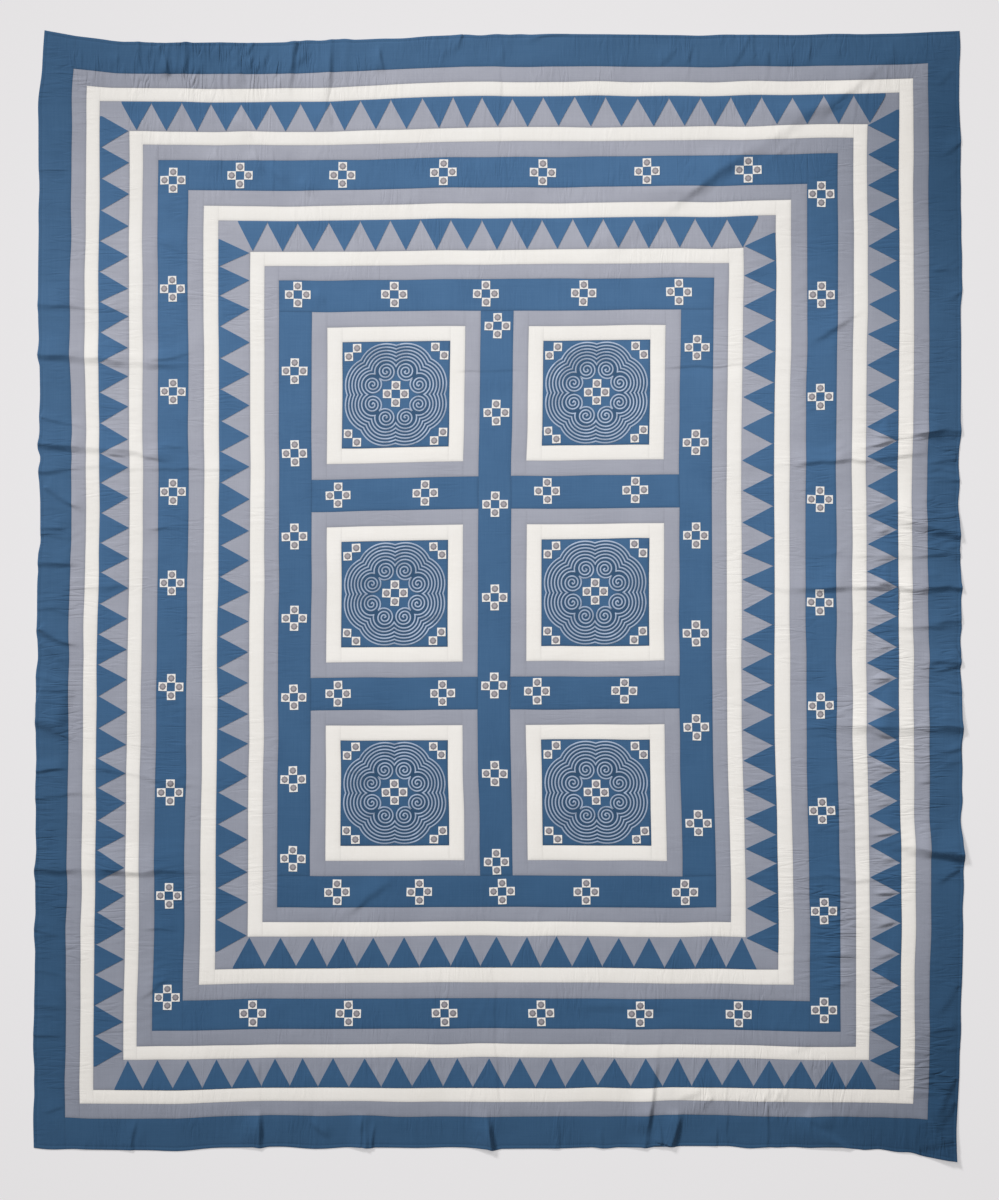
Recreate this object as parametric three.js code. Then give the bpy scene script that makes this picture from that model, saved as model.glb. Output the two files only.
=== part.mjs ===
import * as THREE from 'three';

// Pieced cotton bedspread laid out flat and face up, in millimetres with +Z up.
// X runs across its width and Y along its length, and it lies on the plane Z = 0.
// Each strip, sash and block is a thin sheet of its own, sewn edge to edge with the next.
// A point of the flat sewn top is (s, t), measured right and up from its middle.

// Driving sizes
const thickness = 2;
const seamGap = 0.3;
const fieldWidth = 1076;
const fieldLength = 1555;
const sashWidth = 81;
const endSashWidth = 78;
const blockRows = 3;

// Cottons
const cloths = {
  blue: { color: 0x4a6d95, roughness: 0.9 },
  grey: { color: 0xabaeba, roughness: 0.88 },
  white: { color: 0xf0eee9, roughness: 0.86 },
};

// Strips that frame the field, from the hem inwards
const rings = [
  { name: 'border', cloth: 'blue', width: 79 },
  { name: 'grey_1', cloth: 'grey', width: 37 },
  { name: 'white_1', cloth: 'white', width: 34.5 },
  { name: 'teeth_1', cloth: 'grey', width: 77 },
  { name: 'white_2', cloth: 'white', width: 34 },
  { name: 'grey_2', cloth: 'grey', width: 38.5 },
  { name: 'band', cloth: 'blue', width: 75 },
  { name: 'grey_3', cloth: 'grey', width: 39 },
  { name: 'white_3', cloth: 'white', width: 37 },
  { name: 'teeth_2', cloth: 'grey', width: 79 },
  { name: 'white_4', cloth: 'white', width: 36 },
  { name: 'grey_4', cloth: 'grey', width: 36 },
];

// Distance of each seam from the hem
const insets = [0];
for (const ring of rings) {
  insets.push(insets.at(-1) + ring.width);
}
const halfWidth = fieldWidth / 2 + insets.at(-1);
const halfLength = fieldLength / 2 + insets.at(-1);
const blockLength = (fieldLength - 2 * endSashWidth - (blockRows - 1) * sashWidth) / blockRows;
const crossLevel = blockLength / 2 + sashWidth / 2;

// How the sewn top strays from a true rectangle, in millimetres of X and Y.
// Places across: hem, band and field edge at the left, middle, field edge, band and hem at the right.
// One row for each level: hem, band, field edge, both crosspieces, field edge, band and hem.
const places = [-halfWidth, -800, -fieldWidth / 2, 0, fieldWidth / 2, 800, halfWidth];
const stray = [
  { level: -halfLength, x: [-13, -20, -15, -8, -2, 0, -5], y: [9, 6, 11, 7, 15, 9, 5] },
  { level: -1055, x: [-12, -20, -16, -8, -1, 3, 4], y: [2, 2, 5, 8, 5, 0, -5] },
  { level: -fieldLength / 2, x: [-9, -17, -15, -8, -3, 3, 9], y: [4, 5, 6, 7, 5, 3, 0] },
  { level: -crossLevel, x: [-4, -10, -11, -14, -11, -4, 5], y: [3, 3, 3, 5, 8, 8, 8] },
  { level: crossLevel, x: [0, -6, -10, -13, -10, -4, 3], y: [0, 0, 0, 9, 15, 15, 15] },
  { level: fieldLength / 2, x: [-1, -6, -9, -5, -7, -2, 4], y: [0, 1, 3, 6, 11, 14, 15] },
  { level: 1055, x: [-2, -6, -8, -5, -6, -2, 4], y: [-2, -1, -1, 7, 10, 16, 18] },
  { level: halfLength, x: [3, -5, -8, -5, -6, -2, 3], y: [-8, -11, -8, 9, 6, 9, 14] },
];
const levels = stray.map((row) => row.level);
// Brings the middle of the laid outline over the origin
const centring = { x: 2, y: 0.5 };

// Corners that are pulled askew, and how far the cloth lifts there
const cornerReach = 150;
const corners = [
  { s: -halfWidth, t: halfLength, pullX: 13, pullY: 26, lift: 0 },
  { s: halfWidth, t: halfLength, pullX: -2, pullY: 2, lift: 0 },
  { s: halfWidth, t: -halfLength, pullX: -7, pullY: -24, lift: 14 },
  { s: -halfWidth, t: -halfLength, pullX: 0, pullY: 5, lift: 0 },
];

// Main folds, each running inwards from one side as a soft ridge.
// at: its place along the hem, lean: its sideways shift for each millimetre inwards,
// from and reach: where it rises and dies away, measured inwards from the hem.
const folds = [
  { side: 'left', at: 706, lean: -0.06, from: 0, reach: 300, height: 4, width: 22 },
  { side: 'left', at: 583, lean: -0.08, from: 0, reach: 410, height: 9, width: 26 },
  { side: 'left', at: 361, lean: -0.1, from: 0, reach: 370, height: 8, width: 26 },
  { side: 'left', at: 293, lean: 0.02, from: 0, reach: 225, height: 4, width: 20 },
  { side: 'left', at: 75, lean: 0, from: 0, reach: 115, height: 6, width: 22 },
  { side: 'left', at: 13, lean: 0, from: 0, reach: 300, height: 5, width: 20 },
  { side: 'left', at: -93, lean: -0.44, from: 0, reach: 115, height: 5, width: 20 },
  { side: 'left', at: -321, lean: -0.45, from: 0, reach: 110, height: 8, width: 24 },
  { side: 'left', at: -408, lean: -0.11, from: 150, reach: 590, height: 5, width: 22 },
  { side: 'left', at: -514, lean: 0.1, from: 0, reach: 220, height: 4, width: 20 },
  { side: 'left', at: -697, lean: 0.03, from: 0, reach: 525, height: 10, width: 28 },
  { side: 'right', at: 388, lean: -0.06, from: 0, reach: 235, height: 8, width: 23 },
  { side: 'right', at: 340, lean: -0.06, from: 0, reach: 590, height: 6, width: 18 },
  { side: 'right', at: 136, lean: 0.25, from: 0, reach: 230, height: 8, width: 26 },
  { side: 'right', at: 85, lean: 0, from: 0, reach: 370, height: 4, width: 18 },
  { side: 'right', at: 3, lean: 0, from: 0, reach: 540, height: 9, width: 26 },
  { side: 'right', at: -91, lean: 0, from: 0, reach: 240, height: 5, width: 20 },
  { side: 'right', at: -175, lean: 0, from: 0, reach: 110, height: 5, width: 18 },
  { side: 'right', at: -330, lean: 0, from: 0, reach: 430, height: 8, width: 26 },
  { side: 'right', at: -460, lean: -0.05, from: 250, reach: 400, height: 6, width: 22 },
  { side: 'right', at: -650, lean: 0.1, from: 0, reach: 220, height: 12, width: 30 },
  { side: 'right', at: -715, lean: 0.02, from: 120, reach: 430, height: 5, width: 20 },
  { side: 'right', at: -835, lean: 0.02, from: 260, reach: 400, height: 5, width: 20 },
  { side: 'right', at: -922, lean: 0.02, from: 260, reach: 370, height: 6, width: 22 },
  { side: 'top', at: -889, lean: 0, from: 0, reach: 85, height: 5, width: 16 },
  { side: 'top', at: -772, lean: 0.02, from: 0, reach: 95, height: 6, width: 18 },
  { side: 'top', at: -500, lean: -0.05, from: 0, reach: 155, height: 7, width: 20 },
  { side: 'top', at: -409, lean: 0.05, from: 0, reach: 250, height: 6, width: 20 },
  { side: 'top', at: -750, lean: 0.67, from: 150, reach: 440, height: 5, width: 30 },
  { side: 'top', at: 1080, lean: -1.47, from: 130, reach: 520, height: 8, width: 46 },
  { side: 'bottom', at: -587, lean: 0, from: 0, reach: 95, height: 8, width: 18 },
  { side: 'bottom', at: -322, lean: 0, from: 0, reach: 90, height: 6, width: 20 },
  { side: 'bottom', at: -20, lean: 0, from: 0, reach: 105, height: 11, width: 22 },
  { side: 'bottom', at: 123, lean: 0, from: 0, reach: 90, height: 6, width: 18 },
  { side: 'bottom', at: 378, lean: 0, from: 0, reach: 225, height: 7, width: 18 },
  { side: 'bottom', at: 466, lean: -0.1, from: 0, reach: 95, height: 7, width: 20 },
  { side: 'bottom', at: 872, lean: -1.2, from: 0, reach: 95, height: 6, width: 30 },
];
const foldFade = 0.45;
const foldRise = 60;
const foldSteps = [-1, -0.5, 0, 0.5, 1];

// A side of the top: distance inwards and along for a point, and the point at such distances
const sides = {
  left: {
    inward: (s, t) => [s + halfWidth, t],
    point: (inward, along) => [inward - halfWidth, along],
  },
  right: {
    inward: (s, t) => [halfWidth - s, t],
    point: (inward, along) => [halfWidth - inward, along],
  },
  top: {
    inward: (s, t) => [halfLength - t, s],
    point: (inward, along) => [along, halfLength - inward],
  },
  bottom: {
    inward: (s, t) => [t + halfLength, s],
    point: (inward, along) => [along, inward - halfLength],
  },
};

// Cell of a rising list that holds a value, and the share of the way across it
function cellOf(list, value) {
  const last = list.length - 2;
  let cell = 0;
  while (cell < last && value > list[cell + 1]) {
    cell += 1;
  }
  const share = (value - list[cell]) / (list[cell + 1] - list[cell]);
  return [cell, THREE.MathUtils.clamp(share, 0, 1)];
}

// Stray of one axis at a point, straight between the rows and columns of the table
function strayAt(axis, s, t) {
  const [column, acrossShare] = cellOf(places, s);
  const [row, upShare] = cellOf(levels, t);
  const along = (cells) => THREE.MathUtils.lerp(cells[column], cells[column + 1], acrossShare);
  return THREE.MathUtils.lerp(along(stray[row][axis]), along(stray[row + 1][axis]), upShare);
}

// Height of the cloth's underside over the floor where folds cross
function foldHeight(s, t) {
  let height = 0;
  for (const fold of folds) {
    const [inward, along] = sides[fold.side].inward(s, t);
    const offset = Math.abs(along - fold.at - fold.lean * inward) / fold.width;
    if (offset < 1 && inward < fold.reach) {
      const ridge = Math.cos((offset * Math.PI) / 2) ** 2;
      const fade = 1 - THREE.MathUtils.smoothstep(inward, fold.reach * foldFade, fold.reach);
      const rise = fold.from > 0 ? THREE.MathUtils.smoothstep(inward, fold.from, fold.from + foldRise) : 1;
      height += fold.height * ridge * fade * rise;
    }
  }
  return height;
}

// Place of a point of the flat top once the bedspread is laid out
function lay(s, t) {
  const x = s + strayAt('x', s, t) + centring.x;
  const y = t + strayAt('y', s, t) + centring.y;
  const point = new THREE.Vector3(x, y, foldHeight(s, t));
  for (const corner of corners) {
    const near = Math.max(0, 1 - Math.hypot(s - corner.s, t - corner.t) / cornerReach) ** 2;
    point.x += near * corner.pullX;
    point.y += near * corner.pullY;
    point.z += near * corner.lift;
  }
  return point;
}

// Closed thin sheet over rows of (s, t) points: upper face, underside and rim
function makeSheet(name, cloth, rows) {
  const across = rows[0].length;
  const index = (row, column) => row * across + column;
  const laid = rows.flat().map(([s, t]) => lay(s, t));
  const under = laid.length;
  const positions = [];
  for (const lift of [thickness, 0]) {
    for (const point of laid) {
      positions.push(point.x, point.y, point.z + lift);
    }
  }

  const faces = [];
  for (let row = 0; row < rows.length - 1; row += 1) {
    for (let column = 0; column < across - 1; column += 1) {
      const a = index(row, column);
      const b = index(row, column + 1);
      const c = index(row + 1, column + 1);
      const d = index(row + 1, column);
      faces.push(a, b, c, a, c, d);
      faces.push(under + a, under + c, under + b, under + a, under + d, under + c);
    }
  }

  const rim = [];
  for (let column = 0; column < across; column += 1) {
    rim.push(index(0, column));
  }
  for (let row = 1; row < rows.length; row += 1) {
    rim.push(index(row, across - 1));
  }
  for (let column = across - 2; column >= 0; column -= 1) {
    rim.push(index(rows.length - 1, column));
  }
  for (let row = rows.length - 2; row > 0; row -= 1) {
    rim.push(index(row, 0));
  }
  rim.forEach((a, step) => {
    const b = rim[(step + 1) % rim.length];
    faces.push(under + a, under + b, b, under + a, b, a);
  });

  const geometry = new THREE.BufferGeometry();
  geometry.setAttribute('position', new THREE.Float32BufferAttribute(positions, 3));
  geometry.setIndex(faces);
  geometry.computeVertexNormals();
  const material = new THREE.MeshStandardMaterial({ ...cloths[cloth], metalness: 0 });
  const mesh = new THREE.Mesh(geometry, material);
  mesh.name = name;
  return mesh;
}

// Places along one edge of a strip: its ends, the table's own places, the corners' seams and the folds
function stationsOf(side, ringFolds, inward, end) {
  const upright = side === 'left' || side === 'right';
  const half = upright ? halfLength : halfWidth;
  const seams = insets.filter((inset) => inset > 0 && inset <= cornerReach + 1);
  const fixed = [...(upright ? levels : places)];
  for (const inset of seams) {
    fixed.push(half - inset, inset - half);
  }
  const stations = [-end, end, ...fixed.filter((place) => Math.abs(place) < end - 1)];
  for (const fold of ringFolds) {
    const crest = fold.at + fold.lean * inward;
    stations.push(...foldSteps.map((step) => crest + step * fold.width));
  }
  return stations.sort((a, b) => a - b);
}

// Strip of a ring on one side; the upright strips run through and the others butt between them
function makeStrip(side, ringIndex) {
  const ring = rings[ringIndex];
  const upright = side === 'left' || side === 'right';
  const half = upright ? halfLength - insets[ringIndex] : halfWidth - insets[ringIndex + 1];
  const end = half - seamGap / 2;
  const ringFolds = folds.filter((fold) => fold.side === side
    && fold.reach > insets[ringIndex] && fold.from < insets[ringIndex + 1]);
  const edges = [insets[ringIndex] + seamGap / 2, insets[ringIndex + 1] - seamGap / 2];
  const lines = edges.map((inward) => stationsOf(side, ringFolds, inward, end)
    .map((along) => sides[side].point(inward, along)));
  if (side === 'right' || side === 'top') {
    lines.reverse();
  }
  const rows = upright ? lines[0].map((point, step) => [point, lines[1][step]]) : lines;
  return makeSheet(`${ring.name}_${side}`, ring.cloth, rows);
}

// Rectangle of the field, with the table's own places as its inner rows and columns
function makePanel(name, cloth, left, right, low, high) {
  const within = (list, from, to) => {
    const inner = list.filter((place) => place > from + 1 && place < to - 1);
    return [from + seamGap / 2, ...inner, to - seamGap / 2];
  };
  const columns = within(places, left, right);
  const rows = within(levels, low, high).map((t) => columns.map((s) => [s, t]));
  return makeSheet(name, cloth, rows);
}

const bedspread = new THREE.Group();

// Twelve rings of four strips
for (const ringIndex of rings.keys()) {
  const frame = new THREE.Group();
  for (const side of Object.keys(sides)) {
    frame.add(makeStrip(side, ringIndex));
  }
  bedspread.add(frame);
}

// Field: end sashes across its whole width, three upright sashes and two columns of blocks
const field = new THREE.Group();
const fieldEdge = fieldWidth / 2;
const fieldEnd = fieldLength / 2;
const innerEnd = fieldEnd - endSashWidth;
field.add(makePanel('sash_top', 'blue', -fieldEdge, fieldEdge, innerEnd, fieldEnd));
field.add(makePanel('sash_bottom', 'blue', -fieldEdge, fieldEdge, -fieldEnd, -innerEnd));
field.add(makePanel('sash_left', 'blue', -fieldEdge, sashWidth - fieldEdge, -innerEnd, innerEnd));
field.add(makePanel('sash_middle', 'blue', -sashWidth / 2, sashWidth / 2, -innerEnd, innerEnd));
field.add(makePanel('sash_right', 'blue', fieldEdge - sashWidth, fieldEdge, -innerEnd, innerEnd));
for (let row = 0; row < blockRows; row += 1) {
  const high = innerEnd - row * (blockLength + sashWidth);
  const low = row < blockRows - 1 ? high - blockLength - sashWidth : -innerEnd;
  field.add(makePanel(`block_${row + 1}_left`, 'blue', sashWidth - fieldEdge, -sashWidth / 2, low, high));
  field.add(makePanel(`block_${row + 1}_right`, 'blue', sashWidth / 2, fieldEdge - sashWidth, low, high));
}
bedspread.add(field);

export default bedspread;
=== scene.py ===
import math

import bpy
import numpy as np
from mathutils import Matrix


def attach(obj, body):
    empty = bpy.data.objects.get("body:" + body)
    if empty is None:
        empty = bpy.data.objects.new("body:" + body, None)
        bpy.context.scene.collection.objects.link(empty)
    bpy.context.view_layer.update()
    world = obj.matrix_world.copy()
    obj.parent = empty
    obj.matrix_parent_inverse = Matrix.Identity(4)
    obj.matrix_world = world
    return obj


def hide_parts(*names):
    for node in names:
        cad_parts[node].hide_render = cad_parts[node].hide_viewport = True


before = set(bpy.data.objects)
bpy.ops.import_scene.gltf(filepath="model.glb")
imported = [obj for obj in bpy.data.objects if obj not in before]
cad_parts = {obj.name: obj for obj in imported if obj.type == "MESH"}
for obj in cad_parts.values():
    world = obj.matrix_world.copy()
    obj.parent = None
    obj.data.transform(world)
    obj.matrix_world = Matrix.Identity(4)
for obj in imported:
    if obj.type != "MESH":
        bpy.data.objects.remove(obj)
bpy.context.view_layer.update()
print("frame loaded:", len(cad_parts), "pieces of cloth")

# Sizes are millimetres of the flat sewn top: s to the right and t up from its middle.
mm = 0.001
uprightSides = ("left", "right")

top = {
    "fieldWidth": 1076,
    "fieldLength": 1555,
    "sash": 81,
    "endSash": 78,
    "blockRows": 3,
    "seam": 0.06,  # slit between two pieces
    "cloth": 1.4,  # thickness at a seam
    "crown": 0.7,  # swell between the seams
    "crownReach": 3,
    "slack": 1.8,  # looseness under the cloth, none at the hem
    "slackReach": (-10, 70),
    "floorEase": 0.25,  # how softly the cloth meets the floor
    "lowest": 0.02,
}
steps = {  # of the grid of a piece of cloth
    "along": 4.8,
    "inField": 7.5,
    "across": 8,
    "fold": 2.2,  # finer along a strip where a fold crosses it
    "foldMargin": 16,
    "foldLead": 40,
    "foldSamples": 60,
    "foldSlant": 0.3,
    "seam": [0, 2, 6.5],
    "hem": [0, 1.5, 4, 6.5, 8, 9.5, 13],
}

rings = [  # name, cloth, width, from the hem inwards
    ("border", "border", 79),
    ("grey_1", "grey", 37),
    ("white_1", "white", 34.5),
    ("teeth_1", "grey", 77),
    ("white_2", "white", 34),
    ("grey_2", "grey", 38.5),
    ("band", "blue", 75),
    ("grey_3", "grey", 39),
    ("white_3", "white", 37),
    ("teeth_2", "grey", 79),
    ("white_4", "white", 36),
    ("grey_4", "grey", 36),
]
ringNumbers = {name: number for number, (name, _, _) in enumerate(rings)}
insets = np.concatenate([[0], np.cumsum([width for _, _, width in rings])])
halfWidth = top["fieldWidth"] / 2 + insets[-1]
halfLength = top["fieldLength"] / 2 + insets[-1]
fieldEdge = top["fieldWidth"] / 2
fieldEnd = top["fieldLength"] / 2
innerEnd = fieldEnd - top["endSash"]
blockWidth = (top["fieldWidth"] - 3 * top["sash"]) / 2
blockLength = (2 * innerEnd - (top["blockRows"] - 1) * top["sash"]) / top["blockRows"]
crossLevel = (blockLength + top["sash"]) / 2

# How the laid top strays from a true rectangle, a row for each level and a column for each place
places = np.array([-halfWidth, -800, -fieldEdge, 0, fieldEdge, 800, halfWidth])
levels = np.array([-halfLength, -1055, -fieldEnd, -crossLevel, crossLevel, fieldEnd, 1055, halfLength])
strayX = np.array([
    [-13, -19, -14, -8, -1, -1, -4],
    [-11, -19, -15, -7, -2, 4, 3],
    [-9, -14, -12, -7, -2, 3, 8],
    [-5, -9, -9, -13, -11, -6, 3],
    [3, -4, -7, -11, -12, -7, -1],
    [0, -5, -7, -4, -7, -2, 4],
    [4, -5, -7, -4, -8, -3, 1],
    [7, -4, -6, -5, -5, 0, 2],
])
strayY = np.array([
    [9, 8, 16, 10, 17, 12, 7],
    [1, 2, 7, 9, 6, 1, -4],
    [3, 3, 6, 7, 5, 3, 0],
    [3, 2, 2, 5, 7, 7, 7],
    [0, 0, -1, 8, 12, 13, 14],
    [0, -1, 2, 5, 9, 14, 15],
    [-2, -2, -4, 5, 8, 14, 19],
    [-8, -12, -10, 9, 7, 9, 16],
])
centring = (2, 0.5)  # brings the middle of the laid top to the origin

cornerFall = 1.3  # how quickly a corner's pull fades
corners = [  # s, t, pull in x, pull in y, lift, reach, how far from the hem it pulls or 0 for no limit
    (-halfWidth, halfLength, 13, 26, 0, 215, 0),
    (halfWidth, halfLength, -2, 2, 0, 150, 0),
    (halfWidth, -halfLength, -7, -27, 14, 225, 90),
    (-halfWidth, -halfLength, 0, 5, 0, 150, 0),
]

folds = [  # side, place along it, lean, from, reach inwards, height, half width
    ("left", 717, -0.06, 0, 300, 4, 22),
    ("left", 591, -0.075, 0, 410, 9, 26),
    ("left", 370, -0.085, 0, 370, 8, 26),
    ("left", 300, 0.12, 0, 225, 4, 20),
    ("left", 75, 0, 0, 115, 6, 22),
    ("left", 13, 0, 70, 300, 5, 20),
    ("left", -93, -0.44, 0, 115, 5, 20),
    ("left", -321, -0.45, 0, 110, 4, 24),
    ("left", -397, -0.21, 120, 500, 5.5, 20),
    ("left", -510, 0.1, 0, 220, 3, 20),
    ("left", -687, -0.01, 0, 480, 9.5, 28),
    ("right", 384, -0.06, 0, 235, 9, 38),
    ("right", 341, -0.08, 60, 590, 6.5, 19),
    ("right", 127, 0.31, 0, 230, 10, 38),
    ("right", 85, 0, 0, 370, 4, 18),
    ("right", 3, 0, 0, 540, 9.5, 24),
    ("right", -91, 0, 0, 240, 5, 20),
    ("right", -175, 0, 0, 110, 5, 18),
    ("right", -343, 0, 0, 430, 10, 36),
    ("right", -460, -0.05, 250, 400, 6, 22),
    ("right", -650, 0.1, 0, 220, 13, 38),
    ("right", -715, 0.02, 120, 430, 5, 20),
    ("right", -852, 0.02, 240, 420, 7, 22),
    ("right", -906, 0.02, 240, 420, 8, 24),
    ("right", -956, -0.04, 240, 400, 6, 20),
    ("top", -889, 0, 0, 85, 2.5, 16),
    ("top", -772, 0.02, 0, 95, 6, 18),
    ("top", -500, -0.05, 0, 155, 7, 20),
    ("top", -405, -0.08, 0, 250, 6, 20),
    ("top", -750, 0.67, 150, 440, 5, 30),
    ("top", 1080, -1.47, 130, 640, 7, 44),
    ("bottom", -574, 0, 0, 105, 9.5, 22),
    ("bottom", -309, 0, 0, 90, 6, 20),
    ("bottom", -5, -0.1, 0, 105, 11, 22),
    ("bottom", 368, 0.13, 0, 290, 7.5, 19),
    ("bottom", 431, 0.34, 0, 95, 7, 20),
    ("bottom", 873, -1.6, 0, 110, 7, 26),
]
foldShape = {"fade": 0.45, "begin": 60, "rise": 0.85, "steep": 0.66, "uneven": 0.5, "pitch": 48,
             "stride": 5.1, "hemPull": 0.3, "hemDepth": 32, "pullDepth": 45}
hemPulls = [  # side, place along it, outwards, half width
    ("left", 1300, 6, 500),
    ("left", 1231, 4.5, 70),
    ("left", 960, 3, 70),
    ("left", 605, 2.5, 35),
    ("left", 412, -3, 40),
    ("left", 340, -4, 28),
    ("left", 100, 4, 35),
    ("left", -195, 3, 45),
    ("left", -420, -2.2, 70),
    ("left", -630, -2.7, 50),
    ("left", -835, 4.2, 55),
    ("left", -1205, 2.3, 45),
    ("right", 1340, 2.5, 60),
    ("right", 1185, -4.6, 90),
    ("right", 985, 2.8, 60),
    ("right", 875, -2.4, 60),
    ("right", 738, 2.3, 45),
    ("right", 212, -6.2, 58),
    ("right", -155, 3.3, 40),
    ("right", -438, 3.8, 60),
    ("right", -560, -7, 58),
    ("right", -770, -2.6, 60),
    ("right", -920, -1.8, 90),
    ("right", -1130, -2.8, 70),
    ("top", -895, 3.3, 80),
    ("top", -470, 3.2, 40),
    ("top", -378, 2.8, 30),
    ("top", -230, -2.3, 70),
    ("top", -42, -3.8, 45),
    ("top", 58, 2, 35),
    ("top", 555, 2.8, 65),
    ("top", 760, -1.7, 120),
    ("bottom", -1100, 4, 70),
    ("bottom", -760, 3, 110),
    ("bottom", -440, 5, 90),
    ("bottom", -110, -5, 110),
    ("bottom", 265, 3.4, 35),
    ("bottom", 620, 5.5, 60),
    ("bottom", 728, -3.6, 50),
    ("bottom", 908, 6, 45),
    ("bottom", 1022, -4, 40),
]
hemPushes = [  # a fold that ends at the hem pushes it outwards a little
    (side, at, foldShape["hemPull"] * rise, width, foldShape["hemDepth"])
    for side, at, _, start, _, rise, width in folds if not start
]
hemPushes += [(*pull, foldShape["pullDepth"]) for pull in hemPulls]
bend = {"reach": 5, "pitch": 62, "fineReach": 2.4, "finePitch": 23}  # folds never run quite straight
whiteCalm = {"share": 0.5, "edge": 34}
gentle = 4.5  # a fold falls steeply on its far side from the window and this much slower towards it
crest = 0.42  # of the steep side's width, from its middle to the top of the fold
window = (-0.59, 0.81)

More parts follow.
